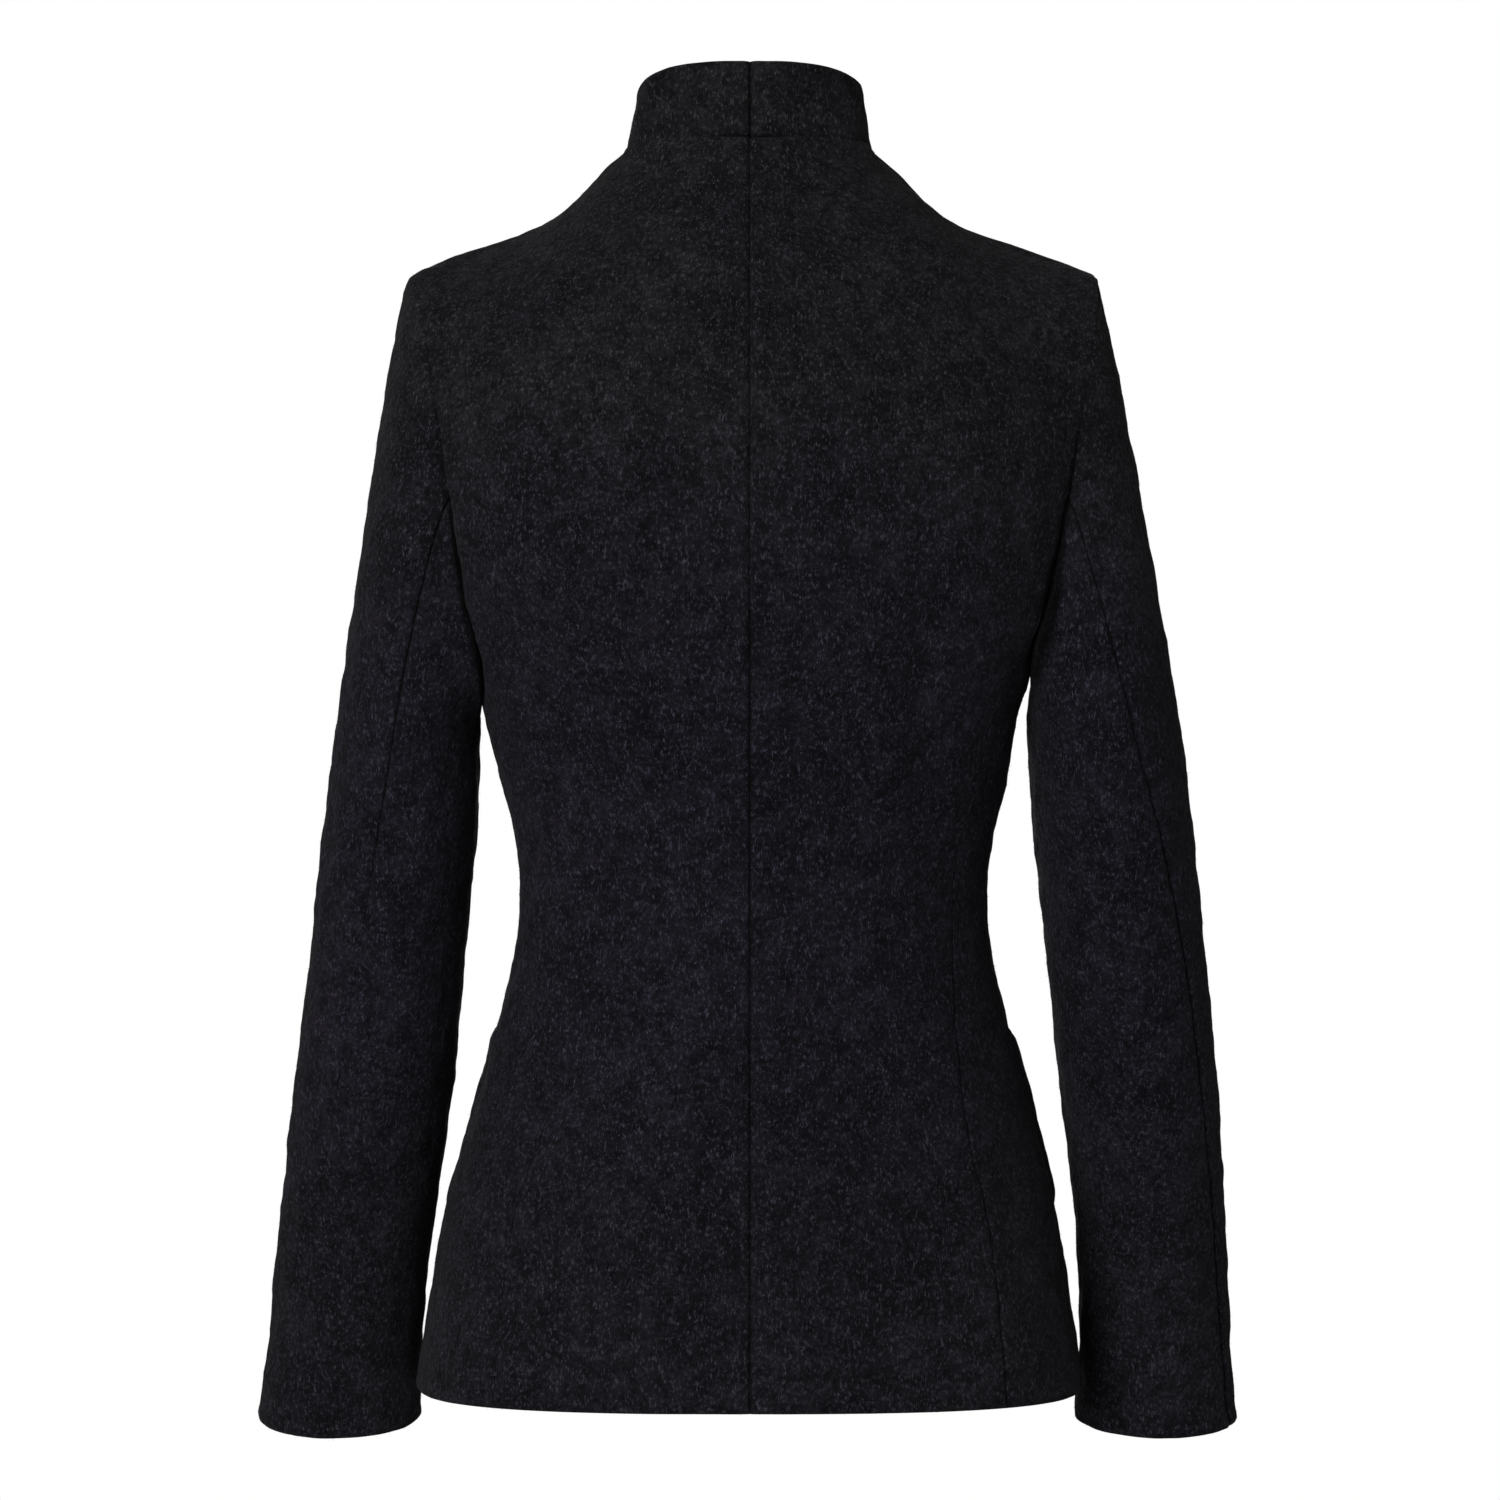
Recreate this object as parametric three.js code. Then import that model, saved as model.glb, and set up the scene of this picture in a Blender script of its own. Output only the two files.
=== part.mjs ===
// A fitted wool jacket with a stand collar, hollow and filled out as if it were worn.
//
// Millimetres, +Z up. The front faces -Y and the wearer's left is +X. The origin is the middle of the
// neck, level with the neck seam at the centre back, where the wearer's shoulders hold the jacket up.
//
// Every piece is a wall of cloth. Its outer face is a smooth surface over a grid of columns and rows,
// and its inner face is the same grid moved in by the cloth's thickness.

import * as THREE from 'three';

// ---------------------------------------------------------------- cloth and seams

const CLOTH = 2.4;
const SEAM_GAP = 0.3;
const ARMHOLE_GAP = 0.6; // a sleeve head stands off the armhole's edge by this much
const WELT_CLOTH = 2.2;

const WOOL = new THREE.MeshStandardMaterial({ color: 0x2c2b30, roughness: 0.95, metalness: 0 });
const HORN = new THREE.MeshStandardMaterial({ color: 0x1d1b1c, roughness: 0.4, metalness: 0 });

// ---------------------------------------------------------------- heights above the origin

const HEM_Z = -667;
const JOINT_Z = -248; // where the seams of the side panels run into the armholes
const SLEEVE_HEAD_Z = -315; // the level ring below which a sleeve is a plain tube
const CUFF_Z = -691;

// ---------------------------------------------------------------- torso

// Level rings round the torso, from the hem up to the armholes. The half widths are the wearer's left
// and right, back and front are depths from the side line, and square is the power of the ring's
// superellipse. The seam columns are shares of the half width at which the side panel's seams lie.
const TORSO = [
  { z: -667, left: 179, right: 179, back: 118, front: 121, square: 2.7, backSeam: 0.75, frontSeam: 0.98 },
  { z: -617, left: 172, right: 172, back: 114, front: 120, square: 2.5, backSeam: 0.757, frontSeam: 0.98 },
  { z: -573, left: 164.5, right: 165, back: 109, front: 119, square: 2.4, backSeam: 0.756, frontSeam: 0.98 },
  { z: -530, left: 152, right: 154.5, back: 102, front: 117, square: 2.3, backSeam: 0.745, frontSeam: 0.978 },
  { z: -487, left: 140, right: 143, back: 95, front: 114, square: 2.2, backSeam: 0.77, frontSeam: 0.975 },
  { z: -444, left: 129, right: 132.5, back: 88, front: 112, square: 2.2, backSeam: 0.815, frontSeam: 0.972 },
  { z: -411, left: 124.5, right: 128, back: 85, front: 112, square: 2.2, backSeam: 0.845, frontSeam: 0.97 },
  { z: -379, left: 125.5, right: 130, back: 86, front: 115, square: 2.25, backSeam: 0.857, frontSeam: 0.972 },
  { z: -336, left: 135.5, right: 139.5, back: 92, front: 127, square: 2.3, backSeam: 0.872, frontSeam: 0.975 },
  { z: -303, left: 144, right: 145, back: 97, front: 137, square: 2.4, backSeam: 0.905, frontSeam: 0.975 },
  { z: -275, left: 152, right: 156, back: 101, front: 141, square: 2.6, backSeam: 0.925, frontSeam: 0.972 },
  { z: -248, left: 161, right: 168, back: 104, front: 140, square: 2.8, backSeam: 0.935, frontSeam: 0.97 },
];

// How low the armhole reaches under the arm.
const UNDERARM_Z = { left: -299, right: -284 };

// ---------------------------------------------------------------- neck, shoulders and collar

const NECK_HALF = 66;
const NECK_CENTRE_Y = 4;
const NECK_BACK = 48;
const NECK_FRONT = 76;
const NECK_SQUARENESS = 2.3;
const COLLAR_TOP_HALF = 60;
const COLLAR_TOP_BACK = 46;
const COLLAR_TOP_FRONT = 68;
const COLLAR_TOP_SQUARENESS = 2.9;
const COLLAR_END_GAP = 1; // between the two ends of the collar at the centre front

// Round the neck from the centre back, at 0 degrees, to the centre front, at 180.
const COLLAR = [
  { turn: 0, seamZ: 0, topZ: 40 },
  { turn: 45, seamZ: 0, topZ: 36.5 },
  { turn: 90, seamZ: -2, topZ: 27 },
  { turn: 120, seamZ: -16, topZ: 9 },
  { turn: 150, seamZ: -48, topZ: -16 },
  { turn: 180, seamZ: -68, topZ: -33 },
];

// The shoulder seam from the neck, at share 0, to the sleeve, at share 1. It sinks in a hollow curve.
const SHOULDER = [
  { share: 0, x: 66, y: 4, z: -2 },
  { share: 0.12, x: 78, y: 3, z: -12 },
  { share: 0.3, x: 100, y: 1, z: -34 },
  { share: 0.5, x: 123, y: -1, z: -46 },
  { share: 0.72, x: 149, y: -3, z: -54.5 },
  { share: 1, x: 183, y: -5, z: -67 },
];

// The direction in which cloth arrives at the top edge of a panel: over is towards the shoulder seam.
// Place 0 is the centre line, 1 the side of the neck and 2 the shoulder tip.
const ARRIVAL = [
  { place: 0, inward: 0, over: 0.45, up: 0.9 },
  { place: 0.7, inward: 0.25, over: 0.55, up: 0.8 },
  { place: 1, inward: 0.36, over: 0.74, up: 0.52 },
  { place: 1.4, inward: 0.2, over: 0.88, up: 0.34 },
  { place: 2, inward: 0, over: 1, up: 0 },
];
const ARRIVAL_PULL = 0.95; // how far the cloth keeps that direction, as a share of the panel's rise
const ARMHOLE_BAND = 0.2; // the share of a panel's columns, next to the armhole, that its lean bends

// The sideways lean of the armhole's edge where it leaves the side seam and where it meets the tip.
const ARMHOLE_LEAN = {
  left: { back: { foot: 0.16, tip: 0.15 }, front: { foot: -0.12, tip: 0.35 } },
  right: { back: { foot: 0.2, tip: -0.14 }, front: { foot: -0.12, tip: 0.3 } },
};
const TIP_OUT = { left: 0, right: 1 }; // how much further out than the table each shoulder tip lies

// ---------------------------------------------------------------- front edges and buttons

const LAP = 18; // how far each front runs on past the centre front
const LAP_LIFT = CLOTH + SEAM_GAP; // the right front lies on the left one

const BUTTON = { count: 5, topZ: -90, pitch: 95, radius: 11, thickness: 3.2, bevel: 0.6 };
const BUTTON_HOLE = { radius: 1.1, offset: 2.6 };
const BUTTON_ROWS = 0.5; // how far a button reaches up and down its panel, in rows
const BUTTON_GAP = 0.4;

// ---------------------------------------------------------------- sleeves

// Level rings round a sleeve: the centre and the half width of each arm, then what both share.
// The back seam turns from the back of the arm towards its outside, in degrees from the outside.
const SLEEVE = [
  { z: -700, leftX: 226, leftHalf: 45, leftSeam: 57, rightX: 223.5, rightHalf: 45, rightSeam: 28, y: -46, depth: 41 },
  { z: -680, leftX: 225, leftHalf: 44, leftSeam: 58, rightX: 222.5, rightHalf: 43.5, rightSeam: 29, y: -44, depth: 41 },
  { z: -650, leftX: 222, leftHalf: 42, leftSeam: 59, rightX: 222, rightHalf: 41.5, rightSeam: 31, y: -41, depth: 42 },
  { z: -606, leftX: 218, leftHalf: 42, leftSeam: 61, rightX: 220.5, rightHalf: 41, rightSeam: 36, y: -35, depth: 43 },
  { z: -563, leftX: 212, leftHalf: 42.5, leftSeam: 64, rightX: 217, rightHalf: 41.5, rightSeam: 38, y: -28, depth: 45 },
  { z: -498, leftX: 203.5, leftHalf: 43, leftSeam: 69, rightX: 210.5, rightHalf: 43, rightSeam: 43, y: -18, depth: 48 },
  { z: -433, leftX: 196, leftHalf: 42, leftSeam: 74, rightX: 203.5, rightHalf: 43, rightSeam: 48, y: -10, depth: 52 },
  { z: -368, leftX: 189, leftHalf: 41.5, leftSeam: 79, rightX: 196, rightHalf: 43, rightSeam: 59, y: -4, depth: 56 },
  { z: -315, leftX: 184.5, leftHalf: 39, leftSeam: 85, rightX: 191, rightHalf: 41.5, rightSeam: 73, y: 0, depth: 59 },
  { z: -255, leftX: 178, leftHalf: 36, leftSeam: 89, rightX: 183, rightHalf: 38, rightSeam: 85, y: 0, depth: 60 },
  { z: -195, leftX: 172, leftHalf: 34, leftSeam: 90, rightX: 176, rightHalf: 36, rightSeam: 90, y: 0, depth: 60 },
];
const SLEEVE_SEAM_AT_ARMHOLE = 90; // the turn of the back seam where the sleeve starts
const SLEEVE_FRONT_SEAM = -105; // the turn of the front seam all the way down
// How a sleeve head leaves the shoulder tip: how far it runs on, outward and down, before it turns.
const SLEEVE_HEAD = {
  left: { fullness: 26, out: 1, down: -0.1 },
  right: { fullness: 14, out: 1, down: -0.05 },
};
const HEAD_REACH = 0.6; // the longest that run may be, as a share of the way to the plain tube
const HEAD_SPREAD = 0.15; // how far it leans towards the back and the front
const UNDERARM_OUT = 0.36; // how far it leans outward under the arm
const CUFF_TILT = 7; // how much lower the back of a cuff is than its sides

// ---------------------------------------------------------------- pocket welts

// The welts stand over the front seams of the side panels, from their top end to their foot.
const WELT = { topZ: -475, footZ: -570, topTurn: 82, footTurn: 90, width: 26 };

// ---------------------------------------------------------------- grids

const BACK = { neckColumns: 6, shoulderColumns: 6 };
const FRONT = { lapColumns: 4, neckColumns: 5, shoulderColumns: 6 };
const PANEL = { lowerRows: 14, upperRows: 8 };
const SIDE_COLUMNS = 8;
const ARMHOLE_STEPS = 24; // 8 up the back, 8 under the arm and 8 up the front
const STEP_TURN = 360 / ARMHOLE_STEPS;
const TUBE = { headRows: 8, armRows: 12, crowding: 1.4 };
const COLLAR_ROWS = 3;
const WELT_GRID = { columns: 5, rows: 6 };

// ---------------------------------------------------------------- mathematics

const vector = (x, y, z) => new THREE.Vector3(x, y, z);
const radians = THREE.MathUtils.degToRad;
const mix = THREE.MathUtils.lerp;

/** The cubic between two values, with the slope at each end given for the whole step. */
function cubic(from, leaving, to, arriving, t) {
  const keep = 1 + t * t * (2 * t - 3);
  const leave = t * (1 - t) * (1 - t);
  const arrive = t * t * (t - 1);
  return from * keep + leaving * leave + to * (1 - keep) + arriving * arrive;
}

/** The same cubic between two points. */
function cubicPoint(from, leaving, to, arriving, t) {
  return vector(
    cubic(from.x, leaving.x, to.x, arriving.x, t),
    cubic(from.y, leaving.y, to.y, arriving.y, t),
    cubic(from.z, leaving.z, to.z, arriving.z, t),
  );
}

/** A smooth curve through one column of a table, whose key column rises from row to row. */
function curve(rows, key, column) {
  const at = rows.map((row) => row[key]);
  const value = rows.map((row) => row[column]);
  const last = rows.length - 1;
  const slope = value.map((_, i) => {
    const before = Math.max(i - 1, 0);
    const after = Math.min(i + 1, last);
    return (value[after] - value[before]) / (at[after] - at[before]);
  });
  return (place) => {
    let i = 0;
    while (i < last - 1 && place > at[i + 1]) i += 1;
    const step = at[i + 1] - at[i];
    const t = (place - at[i]) / step;
    return cubic(value[i], slope[i] * step, value[i + 1], slope[i + 1] * step, t);
  };
}

/** A point on a superellipse. The turn is 0 at the back, 90 degrees at the side and 180 at the front. */
function ringPoint(half, back, front, squareness, turn) {
  const power = 2 / squareness;
  const across = Math.sin(turn);
  const along = Math.cos(turn);
  const x = half * Math.sign(across) * Math.abs(across) ** power;
  const y = along >= 0 ? back * along ** power : -front * (-along) ** power;
  return { x, y };
}

/** The turn at which a superellipse is at this share of its half width, in its back half. */
const turnAtShare = (share, squareness) =>
  Math.sign(share) * Math.asin(Math.abs(share) ** (squareness / 2));

// ---------------------------------------------------------------- a wall of cloth

/** The outward direction of a surface at a place in its grid. */
function outward(surface, columns, rows, u, v, flip) {
  const tiny = 1e-3;
  const across = surface(Math.min(u + tiny, columns), v).sub(surface(Math.max(u - tiny, 0), v));
  const along = surface(u, Math.min(v + tiny, rows)).sub(surface(u, Math.max(v - tiny, 0)));
  const out = across.cross(along).normalize();
  return flip ? out.negate() : out;
}

/** Draws the edges of a grid of points back towards their neighbours by the given distances. */
function drawBack(points, columns, rows, edges) {
  const pull = (i, j, di, dj, distance) => {
    const step = points[i + di][j + dj].clone().sub(points[i][j]);
    points[i][j].addScaledVector(step.normalize(), distance);
  };
  for (let j = 0; j <= rows; j += 1) {
    pull(0, j, 1, 0, edges.start);
    pull(columns, j, -1, 0, edges.end);
  }
  for (let i = 0; i <= columns; i += 1) {
    pull(i, 0, 0, 1, edges.foot);
    pull(i, rows, 0, -1, edges.head);
  }
}

/**
 * A closed wall under a surface.
 * @param {object} grid its columns and rows
 * @param {function} surface the outer face, as a point for each u up to columns and v up to rows
 * @param {boolean} flip whether u, v and outward make a left hand
 * @param {object} edges how far the start, end, foot and head edges are drawn back
 * @param {function} settle corrects the outward direction at a place in the grid
 */
function wall(name, grid, surface, flip, edges = {}, thickness = CLOTH, settle = (out) => out) {
  const { columns, rows } = grid;
  const outer = [];
  const inner = [];
  for (let i = 0; i <= columns; i += 1) {
    outer.push([]);
    inner.push([]);
    for (let j = 0; j <= rows; j += 1) {
      const point = surface(i, j);
      const out = settle(outward(surface, columns, rows, i, j, flip), i, j);
      outer[i].push(point);
      inner[i].push(point.clone().addScaledVector(out, -thickness));
    }
  }
  const trims = { start: 0, end: 0, foot: 0, head: 0, ...edges };
  drawBack(outer, columns, rows, trims);
  drawBack(inner, columns, rows, trims);

  const positions = [...outer, ...inner].flat().flatMap((point) => point.toArray());
  const face = (columns + 1) * (rows + 1);
  const outerAt = (i, j) => i * (rows + 1) + j;
  const innerAt = (i, j) => face + outerAt(i, j);
  const triangles = [];
  const quad = (a, b, c, d) => {
    triangles.push(...(flip ? [a, c, b, a, d, c] : [a, b, c, a, c, d]));
  };
  for (let i = 0; i < columns; i += 1) {
    for (let j = 0; j < rows; j += 1) {
      quad(outerAt(i, j), outerAt(i + 1, j), outerAt(i + 1, j + 1), outerAt(i, j + 1));
      quad(innerAt(i, j), innerAt(i, j + 1), innerAt(i + 1, j + 1), innerAt(i + 1, j));
    }
  }
  for (let i = 0; i < columns; i += 1) {
    quad(outerAt(i, 0), innerAt(i, 0), innerAt(i + 1, 0), outerAt(i + 1, 0));
    quad(outerAt(i, rows), outerAt(i + 1, rows), innerAt(i + 1, rows), innerAt(i, rows));
  }
  for (let j = 0; j < rows; j += 1) {
    quad(outerAt(0, j), outerAt(0, j + 1), innerAt(0, j + 1), innerAt(0, j));
    quad(outerAt(columns, j), innerAt(columns, j), innerAt(columns, j + 1), outerAt(columns, j + 1));
  }
  const geometry = new THREE.BufferGeometry();
  geometry.setAttribute('position', new THREE.Float32BufferAttribute(positions, 3));
  geometry.setIndex(triangles);
  geometry.computeVertexNormals();
  const mesh = new THREE.Mesh(geometry, WOOL);
  mesh.name = name;
  return mesh;
}

/** The table again, with its second and its last but one row mirrored past its ends. */
function mirrorEnds(rows, key) {
  const mirrored = (row, end) => ({ ...row, [key]: 2 * end[key] - row[key] });
  return [mirrored(rows[1], rows[0]), ...rows, mirrored(rows.at(-2), rows.at(-1))];
}

// ---------------------------------------------------------------- the two sides of the wearer

const SIDES = ['left', 'right'].map((name) => ({
  name,
  sign: name === 'left' ? 1 : -1,
  torsoHalf: curve(TORSO, 'z', name),
  sleeveX: curve(SLEEVE, 'z', `${name}X`),
  sleeveHalf: curve(SLEEVE, 'z', `${name}Half`),
  sleeveSeam: curve(SLEEVE, 'z', `${name}Seam`),
  underarmZ: UNDERARM_Z[name],
  lean: ARMHOLE_LEAN[name],
  tipOut: TIP_OUT[name],
  head: SLEEVE_HEAD[name],
}));

// ---------------------------------------------------------------- torso surface

const torsoBack = curve(TORSO, 'z', 'back');
const torsoFront = curve(TORSO, 'z', 'front');
const torsoSquareness = curve(TORSO, 'z', 'square');
const backSeamShare = curve(TORSO, 'z', 'backSeam');
const frontSeamShare = curve(TORSO, 'z', 'frontSeam');

function torsoPoint(side, turn, z) {
  const ring = ringPoint(side.torsoHalf(z), torsoBack(z), torsoFront(z), torsoSquareness(z), turn);
  return vector(side.sign * ring.x, ring.y, z);
}

const backSeamTurn = (z) => turnAtShare(backSeamShare(z), torsoSquareness(z));
const frontSeamTurn = (z) => Math.PI - turnAtShare(frontSeamShare(z), torsoSquareness(z));

/** The turn at which the torso's front is this far to the piece's own side of the centre front. */
const frontTurnAt = (side, x, z) => Math.PI - turnAtShare(x / side.torsoHalf(z), torsoSquareness(z));

// ---------------------------------------------------------------- neck and shoulder lines

const neckSeamZ = curve(mirrorEnds(COLLAR, 'turn'), 'turn', 'seamZ');
const collarTopZ = curve(mirrorEnds(COLLAR, 'turn'), 'turn', 'topZ');
const shoulder = {
  x: curve(SHOULDER, 'share', 'x'),
  y: curve(SHOULDER, 'share', 'y'),
  z: curve(SHOULDER, 'share', 'z'),
};
const arrival = {
  inward: curve(ARRIVAL, 'place', 'inward'),
  over: curve(ARRIVAL, 'place', 'over'),
  up: curve(ARRIVAL, 'place', 'up'),
};

/** The height of a collar line at a turn in radians, the same on both sides of the centre front. */
const collarZ = (line, turn) => line(Math.min(turn, 2 * Math.PI - turn) * THREE.MathUtils.RAD2DEG);

function neckPoint(side, turn) {
  const ring = ringPoint(NECK_HALF, NECK_BACK, NECK_FRONT, NECK_SQUARENESS, turn);
  return vector(side.sign * ring.x, NECK_CENTRE_Y + ring.y, collarZ(neckSeamZ, turn));
}

/** The turn at which the neck seam is this far to the piece's own side of the centre front. */
const neckTurnAt = (x) => Math.PI - turnAtShare(x / NECK_HALF, NECK_SQUARENESS);

function collarTopPoint(side, turn) {
  const ring = ringPoint(COLLAR_TOP_HALF, COLLAR_TOP_BACK, COLLAR_TOP_FRONT, COLLAR_TOP_SQUARENESS, turn);
  return vector(side.sign * ring.x, NECK_CENTRE_Y + ring.y, collarZ(collarTopZ, turn));
}

function shoulderPoint(side, share) {
  const x = shoulder.x(share) + side.tipOut * share * share;
  return vector(side.sign * x, shoulder.y(share), shoulder.z(share));
}

// ---------------------------------------------------------------- back and front panels

/**
 * The surface of a panel. Up to the armhole it lies on the torso's rings, and from there each column
 * rises in one smooth curve to its point on the neck or shoulder line.
 * @param {function} lower the panel's point on the torso for a column and a height
 * @param {function} top its point on the neck and shoulder line for a column
 * @param {function} place where that is, from 0 at the centre line to 2 at the shoulder tip
 * @param {number} over 1 where the shoulder seam lies towards +Y and -1 where it lies towards -Y
 */
function panelSurface(side, columns, lower, top, place, over, lean) {
  const edgeShare = (u) => Math.max(0, (u / columns - 1) / ARMHOLE_BAND + 1);
  return (u, v) => {
    if (v <= PANEL.lowerRows) return lower(u, mix(HEM_Z, JOINT_Z, v / PANEL.lowerRows));
    const foot = lower(u, JOINT_Z);
    const head = top(u);
    const length = foot.distanceTo(head);
    const leaving = lower(u, JOINT_Z).sub(lower(u, JOINT_Z - 1));
    leaving.x = mix(leaving.x, side.sign * lean.foot, edgeShare(u));
    leaving.multiplyScalar(length);
    const p = place(u);
    const arriving = vector(-side.sign * arrival.inward(p), over * arrival.over(p), arrival.up(p));
    arriving.normalize();
    arriving.x += side.sign * lean.tip * edgeShare(u);
    arriving.multiplyScalar(length * ARRIVAL_PULL);
    return cubicPoint(foot, leaving, head, arriving, (v - PANEL.lowerRows) / PANEL.upperRows);
  };
}

const backGrid = {
  columns: BACK.neckColumns + BACK.shoulderColumns,
  rows: PANEL.lowerRows + PANEL.upperRows,
};

function backSurface(side) {
  const { neckColumns, shoulderColumns } = BACK;
  const { columns } = backGrid;
  const lower = (u, z) => torsoPoint(side, (u / columns) * backSeamTurn(z), z);
  const top = (u) =>
    u <= neckColumns
      ? neckPoint(side, (u / neckColumns) * (Math.PI / 2))
      : shoulderPoint(side, (u - neckColumns) / shoulderColumns);
  const place = (u) => (u <= neckColumns ? u / neckColumns : 1 + (u - neckColumns) / shoulderColumns);
  return panelSurface(side, columns, lower, top, place, -1, side.lean.back);
}

const frontGrid = {
  columns: FRONT.lapColumns + FRONT.neckColumns + FRONT.shoulderColumns,
  rows: PANEL.lowerRows + PANEL.upperRows,
};

function frontSurface(side) {
  const { lapColumns, neckColumns, shoulderColumns } = FRONT;
  const { columns } = frontGrid;
  const neckPointColumn = lapColumns + neckColumns;
  const lapX = (u) => LAP * ((2 * u) / lapColumns - 1);
  const lower = (u, z) => {
    if (u <= lapColumns) return torsoPoint(side, frontTurnAt(side, lapX(u), z), z);
    const share = (u - lapColumns) / (columns - lapColumns);
    return torsoPoint(side, mix(frontTurnAt(side, LAP, z), frontSeamTurn(z), share), z);
  };
  const top = (u) => {
    if (u <= lapColumns) return neckPoint(side, neckTurnAt(lapX(u)));
    if (u > neckPointColumn) return shoulderPoint(side, (u - neckPointColumn) / shoulderColumns);
    return neckPoint(side, mix(neckTurnAt(LAP), Math.PI / 2, (u - lapColumns) / neckColumns));
  };
  const place = (u) => {
    if (u > neckPointColumn) return 1 + (u - neckPointColumn) / shoulderColumns;
    return Math.max(0, (u - lapColumns) / neckColumns);
  };
  return panelSurface(side, columns, lower, top, place, 1, side.lean.front);
}

/** The right front, lifted off the left one where it laps over it. */
function lappedSurface(side) {
  const base = frontSurface(side);
  const flip = side.sign < 0;
  const lift = (u) => LAP_LIFT * THREE.MathUtils.clamp(FRONT.lapColumns + 1 - u, 0, 1);
  return (u, v) =>
    base(u, v).addScaledVector(outward(base, frontGrid.columns, frontGrid.rows, u, v, flip), lift(u));
}

// ---------------------------------------------------------------- side panels and armholes

const sideGrid = { columns: SIDE_COLUMNS, rows: PANEL.lowerRows };

/** The turn and height of a place in a side panel's grid, whose head dips under the arm. */
function sidePlace(side, u, v) {
  const turnShare = (1 - Math.cos((u / SIDE_COLUMNS) * Math.PI)) / 2;
  const dip = Math.sin((u / SIDE_COLUMNS) * Math.PI);
  const z = mix(HEM_Z, mix(JOINT_Z, side.underarmZ, dip), v / PANEL.lowerRows);
  return { turn: mix(backSeamTurn(z), frontSeamTurn(z), turnShare), z };
}

function sideSurface(side) {
  return (u, v) => {
    const { turn, z } = sidePlace(side, u, v);
    return torsoPoint(side, turn, z);
  };
}

/** The torso's own outward direction, which side panels share with the panels beside them. */
function sideSettle(side) {
  return (_, u, v) => {
    const place = sidePlace(side, u, v);
    const tiny = 1e-4;
    const round = torsoPoint(side, place.turn + tiny, place.z);
    round.sub(torsoPoint(side, place.turn - tiny, place.z));
    const up = torsoPoint(side, place.turn, place.z + tiny);
    up.sub(torsoPoint(side, place.turn, place.z - tiny));
    return up.cross(round).multiplyScalar(side.sign).normalize();
  };
}

/**
 * The armhole's edge, in steps: up the back panel from step 8 to the shoulder tip at 0, under the arm
 * from 8 to 16, and up the front panel from 16 to the tip again at 24.
 */
function armholeEdge(side) {
  const back = backSurface(side);
  const front = frontSurface(side);
  const under = sideSurface(side);
  const third = ARMHOLE_STEPS / 3;
  return (step) => {
    const s = THREE.MathUtils.euclideanModulo(step, ARMHOLE_STEPS);
    if (s <= third) return back(backGrid.columns, backGrid.rows - (s * PANEL.upperRows) / third);
    if (s <= 2 * third) return under(((s - third) / third) * SIDE_COLUMNS, sideGrid.rows);
    const climb = ((s - 2 * third) / third) * PANEL.upperRows;
    return front(frontGrid.columns, PANEL.lowerRows + climb);
  };
}

// ---------------------------------------------------------------- sleeves

const sleeveY = curve(SLEEVE, 'z', 'y');
const sleeveDepth = curve(SLEEVE, 'z', 'depth');
const sleeveRows = TUBE.headRows + TUBE.armRows;

/** A point on a sleeve's level ring. The turn is 0 on the outside of the arm and 90 degrees at its back. */
function sleeveRingPoint(side, turn, z) {
  const x = side.sleeveX(z) + side.sleeveHalf(z) * Math.cos(turn);
  const y = sleeveY(z) + sleeveDepth(z) * Math.sin(turn);
  return vector(side.sign * x, y, z);
}

/**
 * A sleeve's whole surface, for a turn in degrees and a row from the armhole down to the cuff. The head
 * leaves the armhole outward at the shoulder tip and downward under the arm.
 */
function sleeveSurface(side) {
  const edge = armholeEdge(side);
  return (degrees, v) => {
    const turn = radians(degrees);
    if (v >= TUBE.headRows) {
      const share = (v - TUBE.headRows) / TUBE.armRows;
      const tilt = CUFF_TILT * share * share * Math.sin(turn);
      return sleeveRingPoint(side, turn, mix(SLEEVE_HEAD_Z, CUFF_Z, share) - tilt);
    }
    const from = edge(degrees / STEP_TURN);
    from.x += side.sign * ARMHOLE_GAP;
    const to = sleeveRingPoint(side, turn, SLEEVE_HEAD_Z);
    const length = from.distanceTo(to);
    const high = Math.cos(turn);
    const { out, down, fullness } = side.head;
    const middle = (1 + high) / 2;
    const leaving = vector(
      side.sign * mix(UNDERARM_OUT, out, middle),
      HEAD_SPREAD * Math.sin(turn),
      -mix(1, down, middle),
    );
    leaving.setLength(Math.min(HEAD_REACH * length, fullness));
    const arriving = sleeveRingPoint(side, turn, SLEEVE_HEAD_Z - 1).sub(to).multiplyScalar(length);
    return cubicPoint(from, leaving, to, arriving, (v / TUBE.headRows) ** TUBE.crowding);
  };
}

/** The turn of the back seam at a row, in degrees. */
function sleeveSeamTurn(side, v) {
  if (v < TUBE.headRows) {
    const share = (v / TUBE.headRows) ** TUBE.crowding;
    return side.sleeveSeam(mix(SLEEVE.at(-1).z, SLEEVE_HEAD_Z, share));
  }
  return side.sleeveSeam(mix(SLEEVE_HEAD_Z, CUFF_Z, (v - TUBE.headRows) / TUBE.armRows));
}

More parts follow.
